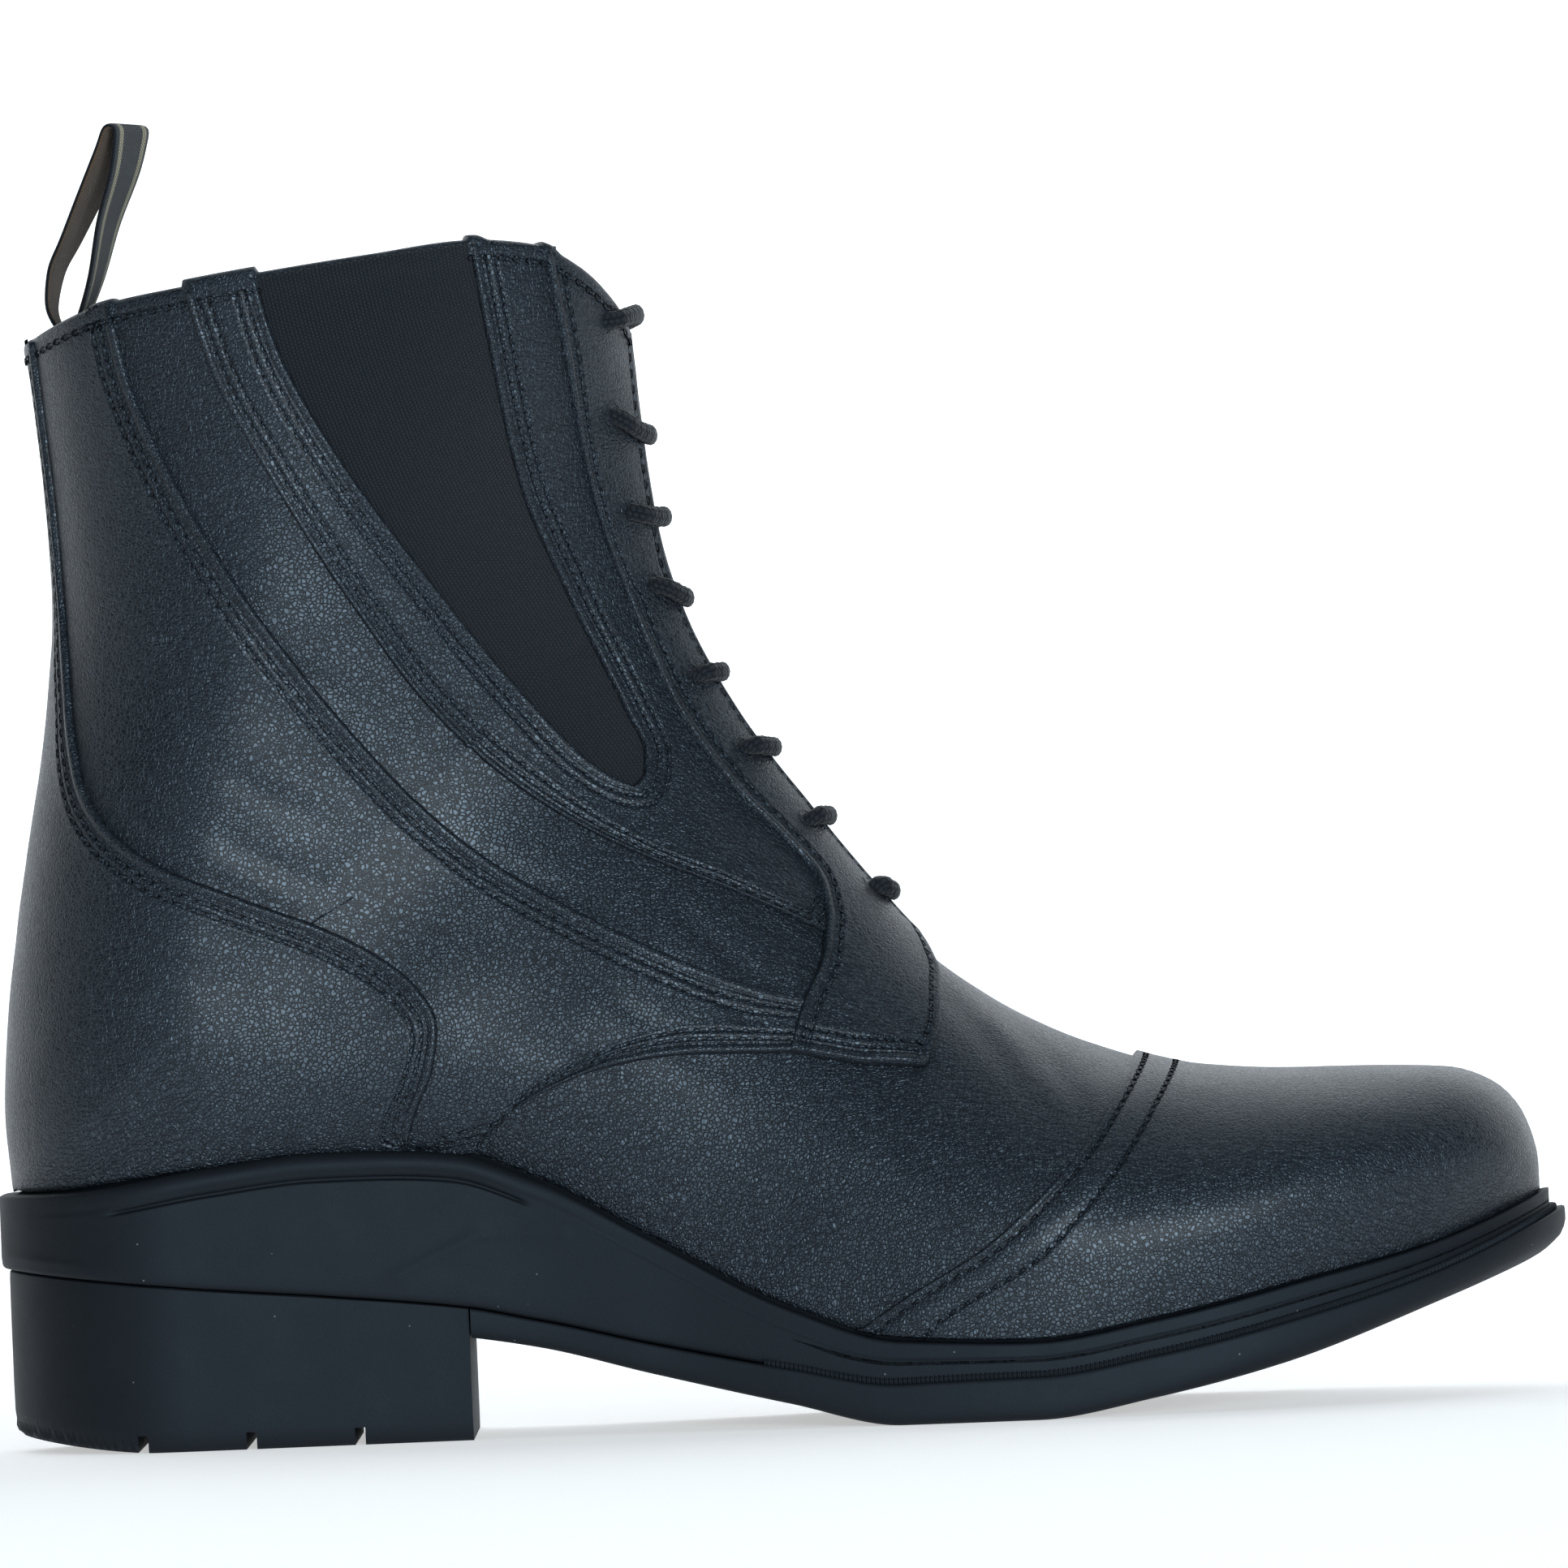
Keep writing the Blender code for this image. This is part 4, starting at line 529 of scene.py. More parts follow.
class Pile:
    # gathers grids of points into one mesh, with a cloth map for the woven pieces
    def __init__(self):
        self.points, self.faces, self.kinds, self.cloths, self.count = [], [], [], [], 0

    def add(self, points):
        points = np.asarray(points, float)
        index = self.count + np.arange(points[..., 0].size).reshape(points.shape[:-1])
        self.points.append(points.reshape(-1, 3))
        self.count += index.size
        return index

    def cover(self, index, kind=0, cloth=None):
        # quads over a grid of point numbers
        self.faces.append(np.stack(quads(index), axis=-1).reshape(-1, 4))
        self.kinds.append(np.full(len(self.faces[-1]), kind))
        if cloth is None:
            cloth = np.zeros((*index.shape, 2))
        self.cloths.append(np.stack(quads(cloth), axis=-2).reshape(-1, 4, 2))
        return index

    def grid(self, points, kind=0, cloth=None):
        return self.cover(self.add(points), kind, cloth)

    def strip(self, one, two, kind=0):
        self.cover(np.stack([one, two]), kind)

    def rim(self, top, under):
        # closes the edges between two sheets
        for edge in (np.s_[0], np.s_[-1], np.s_[:, 0], np.s_[:, -1]):
            self.strip(top[edge], under[edge])

    def cap(self, ring, centre, kind=0):
        # a fan from a closed ring to a point
        self.strip(ring, np.full(len(ring), self.add(centre[None])[0]), kind)

    def tube(self, rings, cloth=None):
        # a capped tube of rings (rings, sides, 3)
        index = self.cover(closed(self.add(rings)), cloth=cloth)
        for end in (0, -1):
            self.cap(index[end], rings[end].mean(axis=0))

    def build(self, name, slots, weld=0.0, sharp=None):
        mesh = bpy.data.meshes.new(name)
        faces = np.concatenate(self.faces)
        cloths = np.concatenate(self.cloths)
        kinds = np.concatenate(self.kinds)
        pointed = faces[:, 2] == faces[:, 3]
        sizes = np.where(pointed, 3, 4)
        keep = np.ones((len(faces), 4), bool)
        keep[pointed, 3] = False
        mesh.vertices.add(self.count)
        mesh.vertices.foreach_set("co", np.concatenate(self.points).ravel())
        mesh.loops.add(int(sizes.sum()))
        mesh.loops.foreach_set("vertex_index", faces[keep])
        mesh.polygons.add(len(faces))
        mesh.polygons.foreach_set("loop_start", np.concatenate([[0], np.cumsum(sizes)[:-1]]))
        mesh.polygons.foreach_set("material_index", kinds)
        mesh.uv_layers.new(name="cloth").uv.foreach_set("vector", cloths[keep].ravel())
        mesh.update(calc_edges=True)
        mesh.validate()
        bm = bmesh.new()
        bm.from_mesh(mesh)
        if weld:
            bmesh.ops.remove_doubles(bm, verts=bm.verts, dist=weld)
            bmesh.ops.dissolve_degenerate(bm, edges=bm.edges, dist=weld / 2)
        bmesh.ops.recalc_face_normals(bm, faces=bm.faces)
        bm.to_mesh(mesh)
        bm.free()
        mesh.shade_smooth()
        if sharp:
            mesh.set_sharp_from_angle(angle=math.radians(sharp))
        obj = bpy.data.objects.new(name, mesh)
        looks.objects.link(obj)
        for slot in slots:
            mesh.materials.append(materials[slot])
        return obj


def place(obj, *nodes, slot=None):
    # the finished piece takes the place of its plain one
    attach(obj, "root")
    if nodes:
        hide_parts(*nodes)


# Finishes

def socketGroup(name, inputs, outputs):
    group = bpy.data.node_groups.new(name, "ShaderNodeTree")
    for label, default in inputs:
        made = group.interface.new_socket(name=label, in_out="INPUT", socket_type="NodeSocketFloat")
        made.default_value = default
    for label in outputs:
        group.interface.new_socket(name=label, in_out="OUTPUT", socket_type="NodeSocketFloat")
    return group, group.nodes.new("NodeGroupInput").outputs, group.nodes.new("NodeGroupOutput").inputs


def wire(tree, source, target):
    # a number or a colour is set, an output is linked
    if isinstance(source, (int, float)):
        target.default_value = source
    elif isinstance(source, tuple):
        target.default_value = (*source, 1)
    else:
        tree.links.new(source, target)


def maths(tree, operation, *values, clamp=False):
    node = tree.nodes.new("ShaderNodeMath")
    node.operation = operation
    node.use_clamp = clamp
    for socket, value in zip(node.inputs, values):
        wire(tree, value, socket)
    return node.outputs[0]


def times(tree, one, two, clamp=False):
    return maths(tree, "MULTIPLY", one, two, clamp=clamp)


def scaled(tree, value, factor, base, clamp=False):
    return maths(tree, "MULTIPLY_ADD", value, factor, base, clamp=clamp)


def opposite(tree, value):
    return maths(tree, "SUBTRACT", 1.0, value)


def objectPlace(tree):
    return tree.nodes.new("ShaderNodeTexCoord").outputs["Object"]


def parted(tree, vector):
    parts = tree.nodes.new("ShaderNodeSeparateXYZ")
    wire(tree, vector, parts.inputs[0])
    return parts.outputs


def clothPlace(tree):
    # across and down a woven piece, in mm
    cloth = tree.nodes.new("ShaderNodeUVMap")
    cloth.uv_map = "cloth"
    return parted(tree, cloth.outputs[0])


def noiseNode(tree, vector, scale, detail=2.0, roughness=0.5):
    node = tree.nodes.new("ShaderNodeTexNoise")
    for label, value in (("Vector", vector), ("Scale", scale), ("Detail", detail), ("Roughness", roughness)):
        wire(tree, value, node.inputs[label])
    return node.outputs


def cells(tree, vector, scale, feature="F1"):
    node = tree.nodes.new("ShaderNodeTexVoronoi")
    node.feature = feature
    wire(tree, vector, node.inputs["Vector"])
    wire(tree, scale, node.inputs["Scale"])
    return node.outputs


def rounded(tree, value, steepness):
    # rises from 0 and levels off at 1, like the side of a pebble
    rest = opposite(tree, times(tree, value, steepness, clamp=True))
    return opposite(tree, times(tree, rest, rest))


def makeGrain():
    # pebbles of leather: their height, and how deep the lines between them lie
    group, given, result = socketGroup("leatherGrain", [("Pebbles", 1300.0), ("Crackle", 0.5)],
                                       ["Height", "Lines", "Patches"])
    spot = objectPlace(group)
    shift = group.nodes.new("ShaderNodeVectorMath")
    shift.operation = "MULTIPLY_ADD"
    wire(group, noiseNode(group, spot, 480)["Color"], shift.inputs[0])
    shift.inputs[1].default_value = (0.0012, 0.0012, 0.0012)
    wire(group, spot, shift.inputs[2])
    shifted = shift.outputs[0]
    edges = cells(group, shifted, given["Pebbles"], "DISTANCE_TO_EDGE")
    broad = cells(group, shifted, times(group, given["Pebbles"], 0.42), "DISTANCE_TO_EDGE")
    fine = noiseNode(group, spot, 5200, 3, 0.6)[0]
    patches = noiseNode(group, spot, 42, 4, 0.6)[0]
    groove = rounded(group, edges["Distance"], 4.5)
    crease = rounded(group, broad["Distance"], 7.0)
    # the broad cells show in some places only
    some = scaled(group, patches, 2.4, -0.75, clamp=True)
    crease = opposite(group, times(group, opposite(group, crease), some))
    raised = scaled(group, crease, 1.5, groove)
    wire(group, scaled(group, times(group, fine, given["Crackle"]), 0.5, raised), result["Height"])
    # the lines also place the painted shade in the grooves
    wire(group, opposite(group, times(group, groove, scaled(group, crease, 0.6, 0.4))), result["Lines"])
    wire(group, patches, result["Patches"])
    return group


def makeDust():
    # tiny pale specks that lie here and there
    group, given, result = socketGroup("dust", [("Size", 900.0), ("Amount", 0.1)], ["Specks"])
    spots = cells(group, objectPlace(group), given["Size"])
    near = maths(group, "LESS_THAN", spots["Distance"], 0.16)
    pick = group.nodes.new("ShaderNodeSeparateColor")
    wire(group, spots["Color"], pick.inputs[0])
    few = maths(group, "LESS_THAN", pick.outputs[0], given["Amount"])
    wire(group, times(group, near, few), result["Specks"])
    return group


def makeWeave():
    # crossing threads of a woven piece, from its cloth map
    group, given, result = socketGroup("weave", [("Ribs", 1.0), ("Rows", 1.4), ("Fuzz", 0.2)],
                                       ["Height", "ShadedGaps"])

    def wavy(value):
        return maths(group, "ABSOLUTE", maths(group, "SINE", times(group, value, math.pi)))

    cloth = clothPlace(group)
    ribbed = times(group, cloth[0], given["Ribs"])
    odd = times(group, maths(group, "FLOOR", ribbed), 0.5)
    rows = wavy(maths(group, "ADD", times(group, cloth[1], given["Rows"]), odd))
    fuzz = times(group, noiseNode(group, objectPlace(group), 4000)[0], given["Fuzz"])
    raised = times(group, maths(group, "POWER", wavy(ribbed), 0.6), maths(group, "POWER", rows, 0.5))
    wire(group, maths(group, "ADD", raised, fuzz), result["Height"])
    # the gaps between the threads, where the painted shade goes
    wire(group, opposite(group, raised), result["ShadedGaps"])
    return group


grainGroup, dustGroup, weaveGroup = makeGrain(), makeDust(), makeWeave()


def newMaterial(name, colour, roughness, **sockets):
    material = bpy.data.materials.new(name)
    material.use_nodes = True
    tree = material.node_tree
    shader = tree.nodes["Principled BSDF"]
    shader.inputs["Base Color"].default_value = (*colour, 1)
    shader.inputs["Roughness"].default_value = roughness
    for socket, value in sockets.items():
        shader.inputs[socket.replace("_", " ")].default_value = value
    return material, tree, shader


def useGroup(tree, group, **values):
    node = tree.nodes.new("ShaderNodeGroup")
    node.node_tree = group
    for label, value in values.items():
        node.inputs[label].default_value = value
    return node.outputs


def mixColour(tree, share, one, two):
    node = tree.nodes.new("ShaderNodeMix")
    node.data_type = "RGBA"
    for socket, value in zip((node.inputs[0], node.inputs[6], node.inputs[7]), (share, one, two)):
        wire(tree, value, socket)
    return node.outputs[2]


def bump(tree, shader, raised, distance):
    node = tree.nodes.new("ShaderNodeBump")
    node.inputs["Distance"].default_value = distance
    node.inputs["Strength"].default_value = 1.0
    wire(tree, raised, node.inputs["Height"])
    wire(tree, node.outputs[0], shader.inputs["Normal"])


# Painted cool tint of the mirrored light: it stands in for the cool colour of the studio light, set on the
# dark materials
paintedCoolTint = (0.64, 0.81, 1.0, 1)


def leatherMaterial(name, colour, wornColour, grain, depth, roughness, coat):
    material, tree, shader = newMaterial(name, colour, roughness, Coat_Weight=coat, Coat_Roughness=0.32,
                                         Specular_Tint=paintedCoolTint)
    pebbles = useGroup(tree, grainGroup, Pebbles=grain, Crackle=0.5)
    specks = useGroup(tree, dustGroup, Size=900.0, Amount=0.004)["Specks"]
    tone = mixColour(tree, pebbles["Patches"], colour, wornColour)
    # painted shade: the lines between the pebbles are darkened to less than half the leather colour
    tone = mixColour(tree, times(tree, pebbles["Lines"], 0.7), tone, tuple(c * 0.45 for c in colour))
    wire(tree, mixColour(tree, specks, tone, (0.10, 0.105, 0.11)), shader.inputs["Base Color"])
    rough = scaled(tree, pebbles["Lines"], 0.16, roughness - 0.04)
    wire(tree, scaled(tree, pebbles["Patches"], 0.08, rough), shader.inputs["Roughness"])
    bump(tree, shader, pebbles["Height"], depth)
    return material


def wovenMaterial(name, colour, ribs, rows, depth, roughness, stripe=None):
    material, tree, shader = newMaterial(name, colour, roughness, Sheen_Weight=0.1, Sheen_Roughness=0.5,
                                         Specular_Tint=paintedCoolTint, Specular_IOR_Level=0.18)
    cloth = useGroup(tree, weaveGroup, Ribs=ribs, Rows=rows, Fuzz=0.25)
    ground = colour
    if stripe:
        # two stripes at the same distance from the middle of a band
        off = maths(tree, "SUBTRACT", maths(tree, "ABSOLUTE", clothPlace(tree)[0]), stripe["at"])
        mask = maths(tree, "LESS_THAN", maths(tree, "ABSOLUTE", off), stripe["width"] / 2)
        ground = mixColour(tree, mask, colour, stripe["colour"])
    # painted shade: the gaps between the threads are darkened to a tenth of the colour
    gaps = times(tree, cloth["ShadedGaps"], 1.5, clamp=True)
    wire(tree, mixColour(tree, gaps, ground, tuple(c * 0.1 for c in colour)), shader.inputs["Base Color"])
    bump(tree, shader, cloth["Height"], depth)
    return material


def rubberMaterial():
    material, tree, shader = newMaterial("mouldedRubber", (0.020, 0.022, 0.025), 0.55,
                                         Specular_Tint=paintedCoolTint, Specular_IOR_Level=0.22)
    spot = objectPlace(tree)
    cloud = noiseNode(tree, spot, 90, 4, 0.6)[0]
    specks = useGroup(tree, dustGroup, Size=1100.0, Amount=0.006)["Specks"]
    tone = mixColour(tree, cloud, (0.0030, 0.0037, 0.0048), (0.0060, 0.0072, 0.0090))
    wire(tree, mixColour(tree, specks, tone, (0.13, 0.14, 0.15)), shader.inputs["Base Color"])
    wire(tree, scaled(tree, cloud, 0.18, 0.52), shader.inputs["Roughness"])
    bump(tree, shader, noiseNode(tree, spot, 3800, 3, 0.6)[0], 0.00006)
    return material


# Leather: colour, worn colour, pebbles per metre, depth, roughness, coat.
# Cloth: colour, ribs and rows per mm, depth, roughness.
materials.update({
    "leather": leatherMaterial("navyBlackLeather", (0.0038, 0.0050, 0.0072), (0.0056, 0.0073, 0.0103),
                               1250.0, 0.00011, 0.37, 0.10),
    "lining": leatherMaterial("liningLeather", (0.016, 0.017, 0.019), (0.022, 0.023, 0.025),
                              2100.0, 0.00004, 0.55, 0.0),
    "tongue": leatherMaterial("tongueLeather", (0.008, 0.010, 0.014), (0.012, 0.015, 0.020),
                              1700.0, 0.00008, 0.45, 0.1),
    "elastic": wovenMaterial("elasticWeave", (0.013, 0.016, 0.022), 1.43, 1.6, 0.00025, 0.85),
    "lace": wovenMaterial("braidedLace", (0.011, 0.013, 0.018), 1.0, 1.0, 0.00018, 0.75),
    "footbed": wovenMaterial("footbedCloth", (0.026, 0.026, 0.028), 1.2, 1.2, 0.0001, 0.85),
    "webbing": wovenMaterial("navyWebbing", (0.016, 0.020, 0.030), 1.5, 1.9, 0.0002, 0.8,
                             stripe={"at": 5.9, "width": 2.0, "colour": (0.62, 0.56, 0.38)}),
    "webbingBack": wovenMaterial("tanWebbing", (0.15, 0.085, 0.042), 1.5, 1.9, 0.0002, 0.8),
    "thread": newMaterial("waxedThread", (0.006, 0.008, 0.011), 0.40, Specular_Tint=paintedCoolTint)[0],
    # near-black with no reflection: painted shade for the needle holes and the eyelet openings
    "pit": newMaterial("paintedHoleShade", (0.0008, 0.0009, 0.0011), 0.95, Specular_IOR_Level=0.0)[0],
    "rubber": rubberMaterial(),
})

# Soft creases and hollows of the worn leather, by side view points in mm, with width and depth in mm.
# A ridge has a depth below 0.

Crease = namedtuple("Crease", "line width depth")
creases = [Crease(*row) for row in (
    ([(12, 71), (16, 66), (21, 60), (24, 52)], 3.4, 0.42),
    ([(18, 76), (24, 70), (31, 63), (36, 54), (38, 46)], 4.2, 0.50),
    ([(28, 80), (36, 73), (43, 64), (48, 54), (49, 46)], 4.6, 0.42),
    ([(40, 75), (49, 67), (55, 57), (57, 50)], 4.0, 0.30),
    ([(23, 73), (29, 66), (34, 58), (36, 50)], 3.6, -0.30),
    ([(34, 77), (41, 70), (46, 61), (47, 52)], 4.2, -0.34),
    ([(20, 52), (29, 47), (38, 41), (45, 33)], 4.4, 0.32),
    ([(10, 48), (22, 42), (33, 35)], 4.0, 0.26),
    ([(-18, 95), (-11, 89), (-4, 82), (4, 77)], 3.2, 0.36),
    ([(-22, 88), (-14, 82), (-6, 75), (0, 72)], 3.0, 0.28),
    ([(-6, 97), (0, 90), (8, 84), (14, 80)], 2.8, 0.26),
    ([(-34, 84), (-26, 77), (-16, 69), (-6, 65)], 4.0, 0.26),
    ([(-58, 82), (-46, 74), (-34, 66), (-20, 60)], 5.0, 0.24),
    ([(-100, 112), (-90, 106), (-78, 100)], 5.0, 0.22),
    ([(-104, 128), (-94, 121), (-80, 113)], 4.4, 0.24),
    ([(-118, 118), (-108, 112), (-96, 105), (-84, 99)], 4.6, -0.20),
    ([(-98, 150), (-88, 143), (-76, 136)], 5.0, 0.22),
    ([(-70, 118), (-58, 109), (-44, 101), (-30, 96)], 4.4, 0.24),
    ([(-126, 92), (-112, 90), (-98, 84)], 6.0, 0.18),
)]
wave = {"size": 0.019, "depth": 0.00022, "fineSize": 0.0075, "fineDepth": 0.00006, "fineShift": 7.3}


def nearLine(points, line):
    # in side view, how far points lie from a line given in mm, and at what share of its way
    flat = points[..., [0, 2]]
    line = np.array(line, float) * mm
    nearest = np.full(points.shape[:-1], 1.0)
    share = np.zeros(points.shape[:-1])
    for k, (one, two) in enumerate(zip(line[:-1], line[1:])):
        along = two - one
        t = np.clip(((flat - one) @ along) / (along @ along), 0, 1)
        gap = np.linalg.norm(flat - one - t[..., None] * along, axis=-1)
        share = np.where(gap < nearest, (k + t) / (len(line) - 1), share)
        nearest = np.minimum(gap, nearest)
    return nearest, share


def worn(places):
    # how far the leather moves out at these places
    points = surface(places)
    moved = np.zeros(points.shape[:-1])
    for crease in creases:
        nearest, share = nearLine(points, crease.line)
        fade = np.sin(np.clip(share * 0.86 + 0.07, 0, 1) * math.pi) ** 0.8
        moved -= crease.depth * mm * fade * np.exp(-((nearest / (crease.width * mm / 2)) ** 2))
    return moved + waveLift(points)


def waveLift(points):
    values = []
    for point in points.reshape(-1, 3):
        broad = noise.noise(Vector(point / wave["size"]))
        fine = noise.noise(Vector(point / wave["fineSize"] + wave["fineShift"]))
        values.append(broad * wave["depth"] + fine * wave["fineDepth"])
    return np.array(values).reshape(points.shape[:-1])


# The vamp and the hollow wall behind it

shell = {
    "lift": 0.2 * mm,
    "middle": -0.9 * mm,
    "inside": -2.2 * mm,
    "between": 0.01 * mm,
    "columns": 70,
    "vampRows": 105,
    "throatRows": 12,
    "waistRows": 26,
    "shaftRows": 40,
    "liningEvery": 3,
}


def shellPlaces(side):
    vamp = throat * np.linspace(0, 1, shell["vampRows"]) ** 0.8
    start = throat + np.linspace(0, 1, shell["throatRows"])[1:] ** 2 * boot["throatRound"]
    waist = np.linspace(start[-1], heelPlace, shell["waistRows"])[1:]
    shaft = np.linspace(heelPlace, 1, shell["shaftRows"])[1:]
    spread = np.linspace(0, 1, shell["columns"])
    spread = 0.7 * spread + 0.3 * (1 - np.cos(math.pi * spread)) / 2
    rows = []
    for part in np.concatenate([vamp, start, waist, shaft]):
        along = np.full(len(spread), part)
        for _ in range(4):
            edge = throatEdge(along, side)
            around = edge + (side - edge) * spread
            if part > heelPlace:
                reach = (collarAt(around) - heelPlace) / (1 - heelPlace)
                along = heelPlace + (part - heelPlace) * reach
        rows.append(pair(along, around))
    return np.array(rows), len(vamp) - 1


def makeShell():
    # the outer leather and the lining, each a closed sheet of both sides joined at the top line and heel
    outside, inside = Pile(), Pile()
    for side in (-1, 1):
        places, joined = shellPlaces(side)
        heelRow = int(np.argmax(places[:, -1, 0] > heelPlace))
        last, end = len(places) - 1, places.shape[1] - 1
        for pile, lift, low, every in (
                (outside, shell["lift"], shell["middle"], 1),
                (inside, shell["middle"] - shell["between"], shell["inside"], shell["liningEvery"])):
            rows = np.unique(np.concatenate([np.arange(0, last + 1, every), [joined, heelRow, last]]))
            columns = np.unique(np.concatenate([np.arange(0, end + 1, every), [end]]))
            some = places[np.ix_(rows, columns)]
            leather = pile is outside
            top = pile.grid(surface(some, lift + worn(some) if leather else lift))
            under = pile.grid(surface(some, low), int(leather))
            free, back = (int(row) for row in np.searchsorted(rows, (joined, heelRow)))
            pile.strip(top[-1], under[-1])
            pile.strip(top[free:, 0], under[free:, 0])
            pile.strip(top[: back + 1, -1], under[: back + 1, -1])
    place(outside.build("vampAndQuarters", ["leather", "lining"], weld=2e-6), "upper", slot="leather")
    place(inside.build("liningLeather", ["lining"], weld=2e-6))


makeShell()
print("vamp and lining made")

# The panels laid over the shell. A folded edge has a bead, a groove and two rows of stitches.

# Each edge: its bead's width and height, and the distances of its stitch rows, in mm from the fold.
Edge = namedtuple("Edge", "bead high rows")
Relief = namedtuple("Relief", "distance lift")
edges = {
    "rear": Edge(2.0, 0.34, (3.3, 5.2)),
    "counter": Edge(1.9, 0.34, (3.2, 5.0)),
    "middle": Edge(1.1, 0.16, (2.2, 4.0)),
    "gore": Edge(1.6, 0.18, (2.7, 4.5)),
    "facing": Edge(1.7, 0.34, (3.1,)),
    "front": Edge(1.2, 0.12, (2.1,)),
    "derby": Edge(1.9, 0.30, (3.1, 4.9)),
    "cap": Edge(1.1, 0.14, (1.9, 7.6)),
}
fold = ((0.0, -1.0), (0.03, -0.62), (0.1, -0.34), (0.24, -0.10))
beadShares = (0.25, 0.42, 0.6, 0.8)
groove = ((0.0, -0.02), (0.18, -0.13), (0.42, -0.05))
stitchSeat = 0.14  # half the floor of a stitch channel, in mm
channel = ((-0.7, 0.06), (-0.42, -0.04), (-stitchSeat, -0.14),
           (stitchSeat, -0.14), (0.42, -0.04), (0.7, 0.06))
# How far the panels stand off the grid, in mm
lifts = {"cap": 1.25, "rear": 1.5, "counter": 2.25, "middle": 0.9, "strap": 1.75, "gore": 0.85,
         "facing": 2.35}
tuck = 3.0 * mm  # how far a panel runs on under its neighbour
underside = 0.1 * mm
cornerLimits = (-1.0 * mm, 0.4 * mm)  # how low and high the relief gets where two edges cross
stitchLines = []


def edgeRelief(edge):
    # a folded edge, its bead, a groove and a channel for each row of stitches
    relief = [Relief(*step) for step in fold]
    for share in beadShares:
        bulge = math.sin(math.pi * min(share * 0.95 + 0.05, 1)) ** 0.8
        relief.append(Relief(edge.bead * share, edge.high * bulge))
    relief += [Relief(edge.bead + distance, lift) for distance, lift in groove]
    for row in edge.rows:
        relief = [step for step in relief if step.distance < row - 0.72]
        relief += [Relief(row + distance, lift) for distance, lift in channel]
    return relief + [Relief(edge.rows[-1] + 1.1, 0.03), Relief(edge.rows[-1] + 1.8, 0.0)]


reliefs = {name: edgeRelief(edge) for name, edge in edges.items()}


def slant(points, direction):
    lean = np.clip(np.abs((unit(np.gradient(points, axis=0)) * direction).sum(axis=1)), 0, 0.8)
    return np.sqrt(1 - soften(lean, 3) ** 2)


def panelGrid(one, two, near, far, inner, split=0.5):
    # places between two lines, with columns at exact distances from each; inner is the columns between
    fine = np.linspace(0, 1, 60)[None, :, None]
    rulings = surface(one[:, None] * (1 - fine) + two[:, None] * fine)
    run = runAlong(rulings)
    width = np.maximum(run[:, -1:], 1e-6)
    rows = []
    for relief, start, second, room in ((near, 0, 1, split), (far, -1, -2, 1 - split)):
        if relief is None:
            rows.append(np.zeros((len(one), 1)))
            continue
        direction = unit(rulings[:, second] - rulings[:, start])
        distance = column(relief, "distance")[None] * mm / slant(rulings[:, start], direction)[:, None]
        rows.append(distance * np.minimum(1, room * 0.97 * width / distance[:, -1:]))
    first, last = rows[0], width - rows[1][:, ::-1]
    between = first[:, -1:] + (last[:, :1] - first[:, -1:]) * np.linspace(0, 1, inner + 2)[None, 1:-1]
    wanted = np.concatenate([first, between, last], axis=1)
    share = np.array([np.interp(want, have, fine[0, :, 0]) for want, have in zip(wanted, run)])[..., None]
    return one[:, None] * (1 - share) + two[:, None] * share


def panelLift(near, far, inner, farWeight):
    # the relief of the same columns, with how strongly each row shows the far one
    rows = np.ones((len(farWeight), 1))
    first = column(near, "lift") * mm * rows if near else 0 * rows
    last = column(far, "lift")[::-1] * mm * farWeight[:, None] if far else 0 * rows
    return np.concatenate([first, np.zeros((len(rows), inner)), last], axis=1)


def addPanel(pile, places, lift):
    # a closed sheet over a grid of places
    points = surface(places, lift + worn(places))
    top = pile.grid(points)
    pile.rim(top, pile.grid(surface(places, np.minimum(underside, lift - 0.05 * mm))))
    return points


def seatColumn(name, row):
    # which step of an edge's relief is the first of a stitch channel's floor
    return int(np.argmin(np.abs(column(reliefs[name], "distance") - (row - stitchSeat))))


def noteStitches(points, places, name, fromEnd=False, start=0.0, stop=1.0):
    # keeps the lines of a panel's stitch rows for sewing
    last = len(points) - 1
    span = slice(int(start * last), int(math.ceil(stop * last)) + 1)
    for row in edges[name].rows:
        index = seatColumn(name, row)
        pick = [points.shape[1] - 1 - i for i in (index, index + 1)] if fromEnd else [index, index + 1]
        stitchLines.append((points[span, pick].mean(axis=1), normalAt(places[span, pick[0]])))


def noteFoot(points, places, near, far):
    # the stitch rows along a panel's last edge
    first = int(np.argmax(column(reliefs[near], "distance") > 2.4))
    last = points.shape[1] - int(np.argmax(column(reliefs[far], "distance") > 2.2))
    for row in edges["derby"].rows:
        index = len(points) - 1 - seatColumn("derby", row)
        line = points[index - 1 : index + 1, first:last].mean(axis=0)
        stitchLines.append((line, normalAt(places[index, first:last])))


def tailed(line, count, relief):
    # a line's points, even at first and then at the relief's distances from its end
    run = runAlong(surface(line))
    ends = run[-1] - column(relief, "distance")[::-1] * mm
    return readLine(line, run, np.concatenate([np.linspace(0, ends[0], count - len(ends) + 1)[:-1], ends]))


